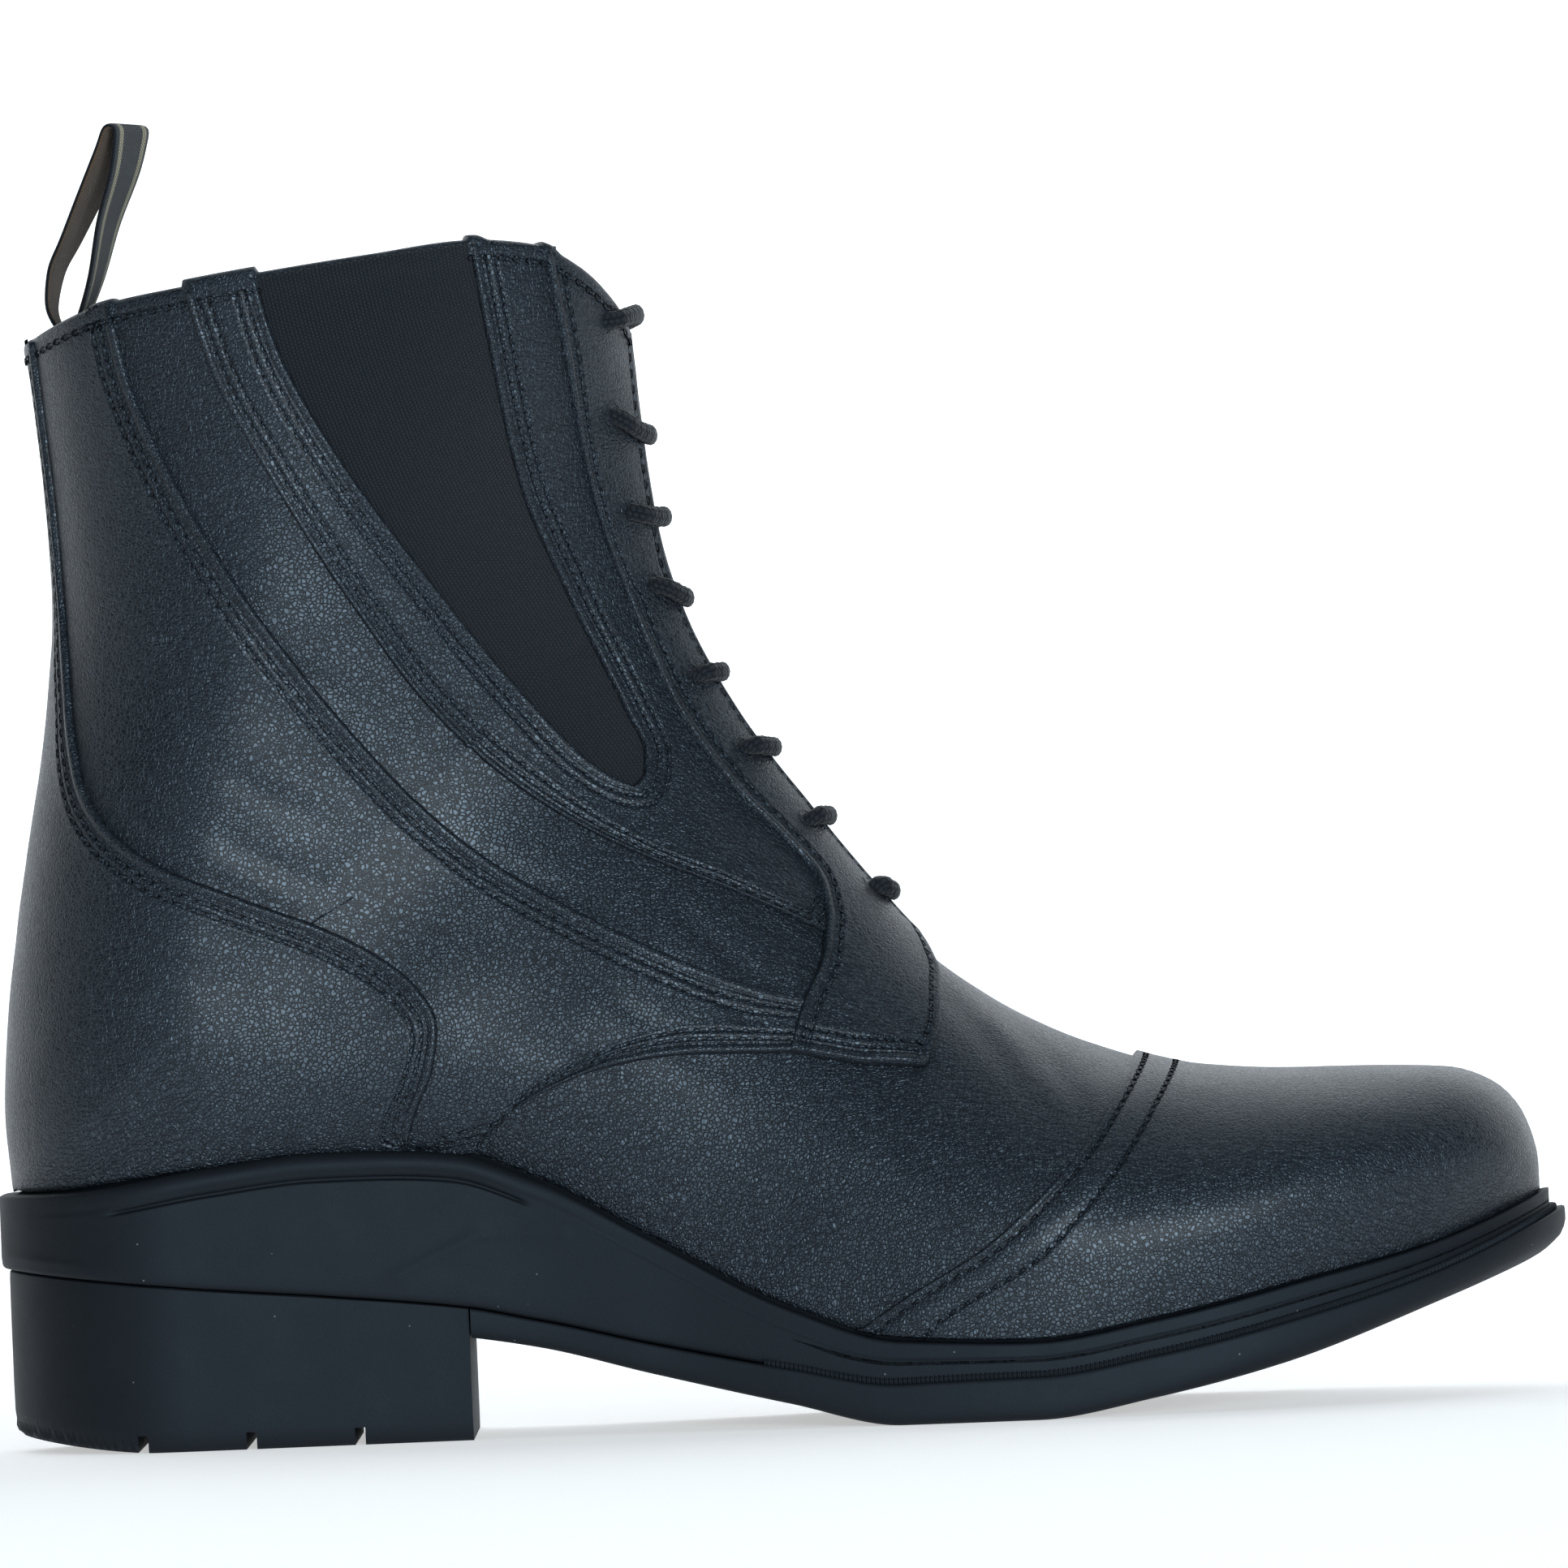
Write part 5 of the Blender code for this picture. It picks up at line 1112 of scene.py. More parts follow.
def makePanel(name, one, two, lift, near=None, far=None, inner=8, farWeight=None, farSpan=(0, 1), split=0.5,
              node=None, foot=None):
    farWeight = np.ones(len(one)) if farWeight is None else farWeight
    nearRelief, farRelief = reliefs.get(near), reliefs.get(far)
    places = panelGrid(one, two, nearRelief, farRelief, inner, split)
    level = np.asarray(lift) * mm
    level = level[:, None] if np.ndim(level) else level
    relief = panelLift(nearRelief, farRelief, inner, farWeight)
    if foot:
        tail = column(foot, "lift")[::-1] * mm
        both = relief[-len(tail):] + tail[:, None]
        relief[-len(tail):] = np.clip(both, *cornerLimits)
    pile = Pile()
    points = addPanel(pile, places, level + relief)
    if foot:
        noteFoot(points, places, near, far)
    if near:
        noteStitches(points, places, near)
    if far:
        noteStitches(points, places, far, True, *farSpan)
    place(pile.build(name, ["leather"]), node, slot="leather")


def counterLine(side, count):
    # the counter's seam, which runs up beside the back seam as the edge of the back strip
    places = seam(counterSeam, side, 600)
    strip = 1 - roundShare(places[:, 0], boot["backStrip"], side)
    up = smoothStep(heelPlace, heelPlace + 0.03, places[:, 0])
    around = np.abs(places[:, 1])
    # the nearer of the two lines, with a rounded corner where they meet
    corner = counter["corner"]
    limited = -np.log(np.exp(-corner * around) + np.exp(-corner * strip)) / corner
    places[:, 1] = side * (around * (1 - up) + limited * up)
    return evenly(places, count)


counter = {"rows": 170, "stripRows": 102, "inner": 26, "split": 0.9, "corner": 60}
toeCap = {"half": 90, "inner": 42, "split": 0.6, "tip": 0.004}


def makeCounter():
    pile = Pile()
    rows, high = counter["rows"], counter["stripRows"]
    for side in (-1, 1):
        edge = counterLine(side, rows)
        back = np.concatenate([np.linspace(float(collarAt(side)), heelPlace, high),
                               np.linspace(heelPlace, edge[-1, 0], rows - high + 1)[1:]])
        laidOver(pile, edge, pair(back, side), "counter", counter)
    place(pile.build("heelCounter", ["leather"], weld=2e-6), "counter", slot="leather")


def laidOver(pile, edge, other, name, sizes):
    # a panel that shows its folded edge on one side only
    relief = reliefs[name]
    places = panelGrid(edge, other, relief, None, sizes["inner"], sizes["split"])
    rise = lifts[name] * mm + panelLift(relief, None, sizes["inner"], np.ones(len(edge)))
    noteStitches(addPanel(pile, places, rise), places, name)


def makeToeCap():
    pile = Pile()
    halves = []
    for side in (-1, 1):
        edge = seam(capSeam, side, 200)
        edge[0, 1], edge[-1, 1] = 0.0, side
        halves.append(evenly(edge, toeCap["half"]))
    line = np.concatenate([halves[0][::-1], halves[1][1:]])
    tip = pair(toeCap["tip"] * (1 + np.abs(line[:, 1])), line[:, 1])
    laidOver(pile, line, tip, "cap", toeCap)
    place(pile.build("toeCap", ["leather"], weld=2e-6), "toe_cap", slot="leather")


def runOn(line, distance):
    # a line carried straight on past its end
    reach = np.linalg.norm(np.diff(surface(line[[-4, -1]]), axis=0))
    ahead = (line[-1] - line[-4]) * distance / reach
    return np.concatenate([line, line[-1] + ahead * np.linspace(0.2, 1, 5)[:, None]])


def lengthOf(line):
    return runAlong(surface(line))[-1]


quarter = {"rows": 180, "inner": 18, "bunch": 0.72}
strap = {"rows": 300, "fan": 23, "inner": 8, "split": 0.55, "fade": 4}
gore = {"rows": 120, "inner": 40, "hem": 3.4 * mm, "hemRise": 0.5 * mm}


def makeSide(side):
    word = words[side]
    derby = runOn(seam(derbySeam, side, 200), 0.8 * tuck)
    hidden = stepAside(counterLine(side, 400), -tuck, side)
    hidden[:, 0] = np.minimum(hidden[:, 0], collarAt(hidden[:, 1]))
    hidden = hidden[hidden[:, 0] > derby[0, 0]]
    whole = np.concatenate([hidden, derby])
    foot = evenly(whole, quarter["rows"])
    rear = evenly(runOn(seam(rearSeam, side, 500), 0.8 * tuck), quarter["rows"], quarter["bunch"])
    free = lengthOf(hidden) / lengthOf(whole)
    onDerby = smoothStep(free - 0.005, free + 0.02, np.linspace(0, 1, quarter["rows"]))
    makePanel(f"rearQuarter.{word}", rear, foot, lifts["rear"], "rear", "derby", quarter["inner"],
              farWeight=onDerby, farSpan=(free, 1), node=f"rear_panel_{word}")

    middle = seam(middleSeam, side, 150)
    under = stepAside(runOn(seam(rearSeam, side, 150), 0.9 * tuck), -tuck, side)
    above = stepAside(runOn(middle, 0.9 * tuck), tuck, side)
    makePanel(f"middleQuarter.{word}", above, under, lifts["middle"], inner=16, node=f"middle_panel_{word}")

    goreLine, outer, tip = strapLines(side, middle)
    fade = smoothStep(tip + strap["fade"], tip - strap["fade"], np.arange(len(outer)))
    makePanel(f"goreStrap.{word}", goreLine, outer, lifts["strap"], "gore", "middle", strap["inner"],
              farWeight=fade, farSpan=(0, tip / len(outer)), split=strap["split"], node=f"gore_strap_{word}")
    makeGore(side)
    makeFacing(side)


def strapLines(side, middle):
    # the gore's edge, back and front in one line, and the strap's own outer edge beside it
    rows = strap["rows"]
    back, front = seam(goreBack, side, rows), seam(goreFront, side, rows)
    goreLine = evenly(np.concatenate([back, front[::-1][1:]]), rows)
    turn = int(np.argmin(surface(goreLine)[:, 2]))
    low = evenly(runOn(middle, 1.3 * tuck), 400)
    around = np.concatenate([low, stepAside(seam(facingSeam, side, rows), tuck, side)[::-1]])
    gaps = np.linalg.norm(surface(goreLine)[:, None] - surface(around)[None], axis=2)
    nearest = gaps.argmin(axis=1).astype(float)
    # the rulings fan out round the tip, and never run backwards
    first, last = turn - strap["fan"], turn + strap["fan"]
    nearest[first : last + 1] = np.linspace(nearest[first], nearest[last], last - first + 1)
    nearest[0], nearest[-1] = 0, len(around) - 1
    nearest = soften(np.maximum.accumulate(nearest), 6)
    outer = readLine(around, np.arange(len(around)), nearest)
    return goreLine, outer, int(np.searchsorted(nearest, len(low) - 1))


def makeGore(side):
    back = stepAside(seam(goreBack, side, gore["rows"]), -tuck, side)
    front = stepAside(seam(goreFront, side, gore["rows"]), tuck, side)
    places = panelGrid(front, back, None, None, gore["inner"])
    points = surface(places)
    down = runAlong(points[:, gore["inner"] // 2])[:, None]
    wide = runAlong(points)
    wide -= wide[:, -1:] / 2
    cloth = np.stack([wide / mm, np.broadcast_to(down / mm, wide.shape)], axis=-1)
    rise = lifts["gore"] * mm + np.exp(-((down / gore["hem"]) ** 4)) * gore["hemRise"]
    pile = Pile()
    top = pile.grid(surface(places, np.broadcast_to(rise, wide.shape)), 0, cloth)
    pile.rim(top, pile.grid(surface(places, underside), 0, cloth))
    place(pile.build(f"elasticGore.{words[side]}", ["elastic"]), f"gore_{words[side]}", slot="elastic")


laceFacing = {"rows": 220, "inner": 26, "footDrop": 0.55, "tackDrop": 0.62}
# Two short rows of stitches that tack each tab down, in side view, in mm
tacks = [((17.2, 77.2), (23.7, 75.5)), ((18.1, 74.3), (25.7, 73.0))]


def makeFacing(side):
    rows, foot = laceFacing["rows"], reliefs["derby"]
    tab = seam(facingFront, side, 120)
    along = np.linspace(1, tab[0, 0] + 0.004, 500)
    lacing = pair(along, throatEdge(along, side))
    lacing = lacing[along <= collarAt(lacing[:, 1])]
    front = tailed(np.concatenate([lacing, tab]), rows, foot)
    rear = np.concatenate([seam(facingSeam, side, 300), seam(facingFoot, side, 120)[1:]])
    lift = lifts["facing"] - laceFacing["footDrop"] * smoothStep(0.80, 0.95, np.linspace(0, 1, rows))
    makePanel(f"laceFacing.{words[side]}", front, tailed(rear, rows, foot), lift, "front", "facing",
              laceFacing["inner"], node=f"facing_{words[side]}", foot=foot)
    for tack in tacks:
        ends = np.array(tack) * mm
        row = locate(ends[0] + (ends[1] - ends[0]) * np.linspace(0, 1, 12)[:, None], side)
        lift = (lifts["facing"] - laceFacing["tackDrop"]) * mm + worn(row)
        stitchLines.append((surface(row, lift), normalAt(row)))


makeCounter()
makeSide(-1)
makeSide(1)
makeToeCap()
print("panels laid")

# Stitches along the noted lines

stitch = {"pitch": 2.94 * mm, "length": 1.5 * mm, "width": 0.6 * mm, "rise": 0.08 * mm, "sides": 6,
          "pit": (2.0 * mm, 1.3 * mm), "pitDepth": 0.22 * mm, "pitSides": 12}
# Along a stitch, as a share of its length: how wide it is, as a share, and how deep it lies, in mm
threadRings = np.array([(-0.5, 0.35, -0.30), (-0.4, 0.8, -0.08), (-0.2, 1.0, 0.0),
                        (0.2, 1.0, 0.0), (0.4, 0.8, -0.08), (0.5, 0.35, -0.30)])


def roundTurns(count):
    return np.linspace(0, 2 * math.pi, count, endpoint=False)[:, None]


def stitchFrame(points, normal, run, at):
    middle = readLine(points, run, at.ravel()).reshape(*at.shape, 3)
    up = unit(readLine(normal, run, at.ravel()).reshape(*at.shape, 3))
    ahead = unit(np.gradient(middle, axis=1))
    return middle, up, ahead, np.cross(up, ahead)


def sew(pile, points, normal):
    # a shallow pit where the thread dives at each end of a stitch, near-black as painted shade of the hole,
    # and the thread between two pits
    run = runAlong(points)
    count = int(run[-1] / stitch["pitch"])
    if count < 2:
        return
    steps, widths, dips = threadRings.T
    at = ((np.arange(count) + 0.5) * run[-1] / count)[:, None] + steps * stitch["length"]
    middle, up, ahead, beside = stitchFrame(points, normal, run, at)
    middle = middle + up * (stitch["rise"] + dips[:, None] * mm)
    half = stitch["width"] / 2 * widths[:, None, None]
    turn = roundTurns(stitch["sides"])
    spread = beside[:, :, None] * np.cos(turn) + up[:, :, None] * 0.7 * np.sin(turn)
    for one in middle[:, :, None] + half * spread:
        pile.tube(one)
    holes = (np.arange(count + 1) * run[-1] / count)[:, None] + np.array([-0.2 * mm, 0.2 * mm])
    spot, up, ahead, beside = (each[:, :1] for each in stitchFrame(points, normal, run, holes))
    turn = roundTurns(stitch["pitSides"])
    rim = spot + ahead * np.cos(turn) * stitch["pit"][0] / 2 + beside * np.sin(turn) * stitch["pit"][1] / 2
    drop = up * stitch["pitDepth"]
    for outer, low, bottom in zip(rim, spot + (rim - spot) * 0.9 + drop, (spot + drop)[:, 0]):
        # the pit's walls and floor take the painted shade
        ring = pile.cover(closed(pile.add(np.stack([outer, low]))), 1)
        pile.cap(ring[1], bottom, 1)


def makeStitches():
    for side, word in words.items():
        pile = Pile()
        for points, normal in stitchLines:
            lean = points[:, 1].mean()
            if np.sign(lean) == side or abs(lean) < 2 * mm and side < 0:
                sew(pile, points, normal)
        place(pile.build(f"seamStitches.{word}", ["thread", "pit"]))


# The collar's bound edge, with a lump where each seam runs into it

# profile: how far above the edge each line of the binding lies, in mm, and its share of the thickness
binding = {
    "steps": 310,
    "over": 0.10 * mm,
    "inside": -2.35 * mm,
    "profile": ((-4.5, 0.0), (-2.2, 0.0), (-0.7, 0.0), (0.1, 0.06), (0.55, 0.2), (0.75, 0.45), (0.75, 0.7),
                (0.5, 0.88), (0.1, 0.97), (-0.5, 1.0), (-1.2, 1.0), (-1.9, 0.99), (-2.1, 0.95), (-2.15, 0.8)),
    "tucked": (-2.1, 1.0),
    "stitchLine": 11,
    "stitchDrop": 0.75 * mm,
}
# Where seams make the edge thicker: the line it starts at, and how far it runs back and forward, in mm.
# The one without an end runs on to the gore.
Lump = namedtuple("Lump", "line back fore fade height")
lumps = [
    Lump(rearSeam, 4.9, 0.0, 0.6, 0.55),
    Lump(middleSeam, 0.0, None, 0.6, 1.2),
    Lump(goreFront, 0.0, 1.2, 3.2, 0.9),
    Lump(facingSeam, 0.0, 1.0, 3.6, 0.8),
]


def makeBinding():
    starts = [throatEdge(collarAt(side * 0.1), side) for side in (-1, 1)]
    around = np.concatenate([np.linspace(starts[0], -1, binding["steps"]),
                             np.linspace(1, starts[1], binding["steps"])[1:]])
    edge = pair(collarAt(around), around)
    points, normal = surface(edge), normalAt(edge)
    run = runAlong(points)
    up = np.cross(unit(np.gradient(points, axis=0)), normal)
    up *= np.sign(up[:, 2:3])
    off = np.abs(around)
    thick = np.full(len(around), lifts["middle"] * mm)
    gores = {}
    for side in (-1, 1):
        seams = (rearSeam, middleSeam, goreBack, goreFront, facingSeam)
        rear, middle, back, front, facing = (abs(float(seam(line, side, 40)[0, 1])) for line in seams)
        strip = 1 - float(roundShare(0.97, boot["backStrip"], side))
        under = [off > strip, off < facing, (off < back) & (off > front), off < middle, off > rear]
        level = [lifts[name] for name in ("counter", "facing", "gore", "strap", "rear")]
        thick = np.where(np.sign(around) == side, np.select(under, level, lifts["middle"]) * mm, thick)
        gores[side] = (front, back)
    thick = soften(thick, 1.2) + binding["over"]

    def runAt(line, side):
        spot = surface(seam(line, side, 40)[:1])[0]
        return run[np.linalg.norm(points - spot, axis=1).argmin()]

    swell = np.zeros(len(around))
    for side in (-1, 1):
        for lump in lumps:
            here = runAt(lump.line, side)
            ahead = abs(runAt(goreBack, side) - here) / mm if lump.fore is None else lump.fore
            back = (run - here) / mm * -side
            rise = smoothStep(lump.back + 0.5, lump.back, back) * smoothStep(-ahead - lump.fade, -ahead, back)
            swell = np.maximum(swell, rise * lump.height * mm)
    inner = binding["inside"]
    rings = []
    for drop, share in binding["profile"]:
        level = inner + (thick - inner) * share
        high = drop * mm + swell * (drop > -1)
        rings.append(points + normal * level[:, None] + up * high[:, None])
    down, out = binding["tucked"]
    rings.append(points + up * down * mm + normal * (inner + out * mm))
    pile = Pile()
    pile.tube(np.stack(rings, axis=1))
    place(pile.build("collarBinding", ["leather"]), slot="leather")
    for side in (-1, 1):
        front, back = gores[side]
        on = (np.sign(around) == side) & ((off > back) | (off < front))
        line = rings[binding["stitchLine"]][on] - up[on] * binding["stitchDrop"]
        split = np.nonzero(np.linalg.norm(np.diff(line, axis=0), axis=1) > 4 * mm)[0] + 1
        for chunk, direction in zip(np.split(line, split), np.split(normal[on], split)):
            if len(chunk) > 6:
                stitchLines.append((chunk, direction))


# The lace: one length through all the eyelets, its ends hidden behind the top ones

Bar = namedtuple("Bar", "fore level drop")
bars = [
    Bar(0.4040, 1.890, -0.45),
    Bar(0.4070, 1.765, 1.35),
    Bar(0.4150, 1.630, 0.45),
    Bar(0.4274, 1.528, 1.35),
    Bar(0.4519, 1.396, 0.10),
    Bar(0.4813, 1.292, 0.40),
    Bar(0.5204, 1.188, 0.15),
    Bar(0.5590, 1.092, 0.80),
]
lace = {"width": 3.5 * mm, "thickness": 2.7 * mm, "above": 3.9 * mm, "under": -4.6 * mm, "step": 0.6 * mm,
        "sides": 12, "dropSize": 3.4 * mm, "barPoints": 41, "swing": 2.2 * mm, "ripple": 0.05,
        "ripplePitch": 1.1 * mm, "ribs": 10, "core": -0.055}
eyelet = {"hole": (2.0 * mm, 1.7 * mm), "rim": 0.75 * mm, "rise": 0.16 * mm, "sides": 24}


def eyeletPair(bar):
    spot = np.array([[float(fore(bar.fore)), float(height(bar.level))]])
    return {side: locate(spot, side)[0] for side in (-1, 1)}


eyelets = [eyeletPair(bar) for bar in bars]


def barPoints(bar, ends):
    # from the outer eyelet over the tongue to the inner one
    half = fanRows // 3
    middle = height(bar.level) - bar.drop * lace["dropSize"]
    top = float(np.interp(middle, fanHead[half:, 1], rowShare[half:]))
    share = np.linspace(-1, 1, lace["barPoints"])
    end = np.where(share < 0, ends[-1][0], ends[1][0])
    around = np.where(share < 0, ends[-1][1] * -share, ends[1][1] * share)
    points = surface(pair(top + (end - top) * share**2, around), lace["above"])
    left, right = (float(np.interp(abs(throatEdge(top, side)), (0, abs(ends[side][1])), (0, 1)))
                   for side in (-1, 1))
    inside = (share > -left) & (share < right)
    first, last = points[~inside & (share < 0)][-1], points[~inside & (share > 0)][0]
    points[inside] = first + (last - first) * ((share[inside] + left) / (left + right))[:, None]
    return points


def laceRoute():
    # (bar, starting side) in order, from one end at the top eyelet to the other
    order = [(0, 1), (2, -1), (4, 1), (6, -1), (7, 1), (5, -1), (3, 1), (1, -1)]
    depths = np.array([lace["under"], -1.0 * mm, 1.6 * mm])
    runs = []
    for number, (index, side) in enumerate(order):
        points = barPoints(bars[index], eyelets[index])[::-side]
        start, finish = eyelets[index][side], eyelets[index][-side]
        down = surface(np.tile(start, (3, 1)), depths)
        up = surface(np.tile(finish, (3, 1)), depths[::-1])
        runs.append(np.concatenate([down, points[3:-3], up]))
        if number + 1 < len(order):
            after, nextSide = order[number + 1]
            t = np.linspace(0, 1, 9)[1:-1, None]
            between = finish * (1 - t) + eyelets[after][nextSide] * t
            swing = roundShare(between[:, 0], lace["swing"], 1) * np.sin(t[:, 0] * math.pi)
            between[:, 1] += np.sign(between[:, 1]) * swing
            runs.append(surface(between, lace["under"]))
    return np.concatenate(runs)


def makeEyelets():
    # plain punched holes: the leather pressed up round each one, and over the opening a near-black disc of
    # painted shade
    turn = roundTurns(eyelet["sides"])
    tall, wide = eyelet["hole"]
    rim = eyelet["rim"]
    for side, word in words.items():
        pile = Pile()
        for ends in eyelets:
            spot = ends[side][None]
            lift = lifts["facing"] * mm - 0.04 * mm + worn(spot)
            centre, out = surface(spot, lift)[0], normalAt(spot)[0]
            up = unit(across(surface(spot + np.array([[0.004, 0]]), lift)[0] - centre, out))
            beside = np.cross(up, out)
            loops = []
            for grow, rise in ((rim, -0.22), (rim * 0.72, 0.05), (rim * 0.35, 1.0), (0.05 * mm, 0.75),
                               (-0.1 * mm, 0.3)):
                loop = up * np.cos(turn) * (tall + grow) + beside * np.sin(turn) * (wide + grow)
                loops.append(centre + loop + out * rise * eyelet["rise"])
            rings = pile.cover(closed(pile.add(np.array(loops))))
            # the disc over the opening is painted shade, not a real hole
            pile.cap(rings[-1], centre + out * 0.05 * mm, 1)
        place(pile.build(f"eyeletHoles.{word}", ["leather", "pit"]), slot="leather")


def makeLace():
    line = laceRoute()
    run = runAlong(line)
    count = int(run[-1] / lace["step"])
    at = np.linspace(0, run[-1], count)
    centre = softLine(readLine(line, run, at), 1.6)
    ahead = unit(np.gradient(centre, axis=0))
    up = softLine(across(centre - centre * (0, 0, 1) - (lace["core"], 0, 0), ahead), 4)
    up = unit(across(up, ahead))
    beside = np.cross(ahead, up)
    turn = np.linspace(0, 2 * math.pi, lace["sides"] + 1)
    swell = 1 + lace["ripple"] * np.sin(at / lace["ripplePitch"] * math.pi)[:, None, None]
    rings = centre[:, None] + swell * (beside[:, None] * np.cos(turn)[:, None] * lace["width"] / 2
                                       + up[:, None] * np.sin(turn)[:, None] * lace["thickness"] / 2)
    cloth = np.stack(np.broadcast_arrays(turn / (2 * math.pi) * lace["ribs"], at[:, None] / mm), axis=-1)
    pile = Pile()
    pile.tube(rings[:, :-1], cloth)
    place(pile.build("lace", ["lace"]), *[f"lace_bar_{n}" for n in range(1, 9)], slot="lace")
    print("lace length", round(float(run[-1]), 3), "m")


# Tongue

tongue = {"half": 23.0 * mm, "tuck": 14 * mm, "thickness": 2.0 * mm, "clear": 1.1 * mm, "bulge": 2.4 * mm,
          "bulgeStart": 0.03, "drop": 4.0 * mm, "topDip": 0.5 * mm, "rows": 120, "columns": 61}


def makeTongue():
    front = np.interp(throat, rowShare, fanHead[:, 0]) + tongue["tuck"]
    start = np.interp(-front, -fanHead[:, 0], rowShare)
    half = fanRows // 2
    top = np.interp(collarAt(0.1), rowShare, fanHead[:, 1]) - tongue["drop"]
    along = np.linspace(start, np.interp(top, fanHead[half:, 1], rowShare[half:]), tongue["rows"])
    share = np.linspace(-1, 1, tongue["columns"])
    outer, inner = (roundShare(along, tongue["half"], side)[:, None] for side in (-1, 1))
    places = pair(along[:, None], share * np.where(share < 0, outer, inner))
    edge = np.abs(throatEdge(along, -1)) * np.interp(along, rowShare, girths[-1])
    room = np.maximum(edge - 1.0 * mm, 1e-5)[:, None]
    swell = tongue["bulge"] * np.clip(1 - (share * tongue["half"] / room) ** 2, 0, 1)
    swell *= np.clip((along - throat) / tongue["bulgeStart"] - 1, 0, 1)[:, None]
    high = -boot["wall"] - tongue["clear"] + swell + waveLift(surface(places))
    high[-1] -= tongue["topDip"]
    pile = Pile()
    pile.rim(pile.grid(surface(places, high)), pile.grid(surface(places, high - tongue["thickness"])))
    place(pile.build("tongue.dressed", ["tongue"]), "tongue", slot="tongue")


# The sole

Ring = namedtuple("Ring", "back side front level start end")


def footLoop(ring, turns, push=None):
    # a closed line round the footprint, outer side first; turns run from 0 to 2 over both sides
    share = (1 - np.cos(np.where(turns <= 1, turns, 2 - turns) * math.pi)) / 2
    x = ring.start + (ring.end - ring.start) * share
    side = ring.side(x) if callable(ring.side) else ring.side
    half = outline(x, ring.back, side, ring.front)
    centre = centreLine(x) - middleY
    points = np.stack([x, centre + np.where(turns <= 1, -half, half), ring.level(x)], axis=1)
    if push is not None:
        tangent = np.roll(points, -1, axis=0) - np.roll(points, 1, axis=0)
        out = unit(np.stack([-tangent[:, 1], tangent[:, 0], 0 * x], axis=1))
        offset = points - np.stack([x, centre, 0 * x], axis=1)
        flip = np.sign((out * offset).sum(axis=1, keepdims=True))
        points = points + out * np.where(flip == 0, 1, flip) * push(points)[:, None]
    return points


def evenTurns(count):
    # turns that space a loop evenly along its length
    fine = np.linspace(0, 2, 6001)
    run = runAlong(footLoop(Ring(0, 0, 0, lambda x: x * 0, -halfLength, halfLength), fine))
    return np.interp(np.linspace(0, run[-1], count, endpoint=False), run, fine)


def ledgeLoop(turns, more, level):
    # a loop inside the sole's edge, past its ledge
    back, side, front = (sole[name] + more for name in ("heelLedge", "sideLedge", "toeLedge"))
    return footLoop(Ring(back, side, front, level, back - halfLength, halfLength - front), turns)


def above(line, rise):
    return lambda x: line(x) + rise * mm


def stackLoops(loops):
    # loops from the bottom to the top, closed across at both ends
    pile = Pile()
    index = pile.add(np.array(loops))
    pile.cover(closed(index))
    half = index.shape[1] // 2
    for row in (index[0], index[-1]):
        inner = np.concatenate([row[:1], row[half:][::-1]])
        pile.strip(row[: half + 1], inner[: half + 1])
    return pile


# Each row of pairs is one part of the midsole's wall, from the bottom: the share of the height and the
# inset at the foot, then depth and drop below the rim of the slot and of the band, then the rim's inset
# and rise. All but the shares are in mm.
midsole = {
    "turns": 640,
    "foot": ((0.02, 0.22), (0.05, 0.08), (0.12, 0.01)),
    "slot": ((0.0, 5.35), (0.75, 5.2), (0.95, 4.85), (0.75, 4.5), (0.1, 4.35)),
    "band": ((0.35, 3.9), (0.75, 3.2), (0.95, 2.5), (0.9, 1.8), (0.6, 1.1), (0.1, 0.55)),
    "rim": ((-1.6, -0.25), (-0.6, 0.3), (0.2, 1.15), (1.2, 1.3), (sole["rimWidth"] / mm, 0.2)),
    "lowShares": np.linspace(0.16, 0.5, 14),
    "upperShares": np.linspace(0, 1, 5)[1:],
    "upperDrop": 5.6 * mm,
    "slit": (-0.1235, -0.1215, -0.0485, -0.0465),
    "sweepRise": 0.28 * mm,
    "sweepWidth": 1.0 * mm,
}
sweeps = [
    [(-143, 37), (-132, 34.5), (-120, 31)],
    [(-78, 27.5), (-66, 33), (-56, 37.5), (-48, 38.5), (-40, 37)],
]


def wallPush(points):
    # the faint moulded sweeps on the side wall
    push = np.zeros(len(points))
    for line in sweeps:
        push += midsole["sweepRise"] * np.exp(-((nearLine(points, line)[0] / midsole["sweepWidth"]) ** 2))
    return push


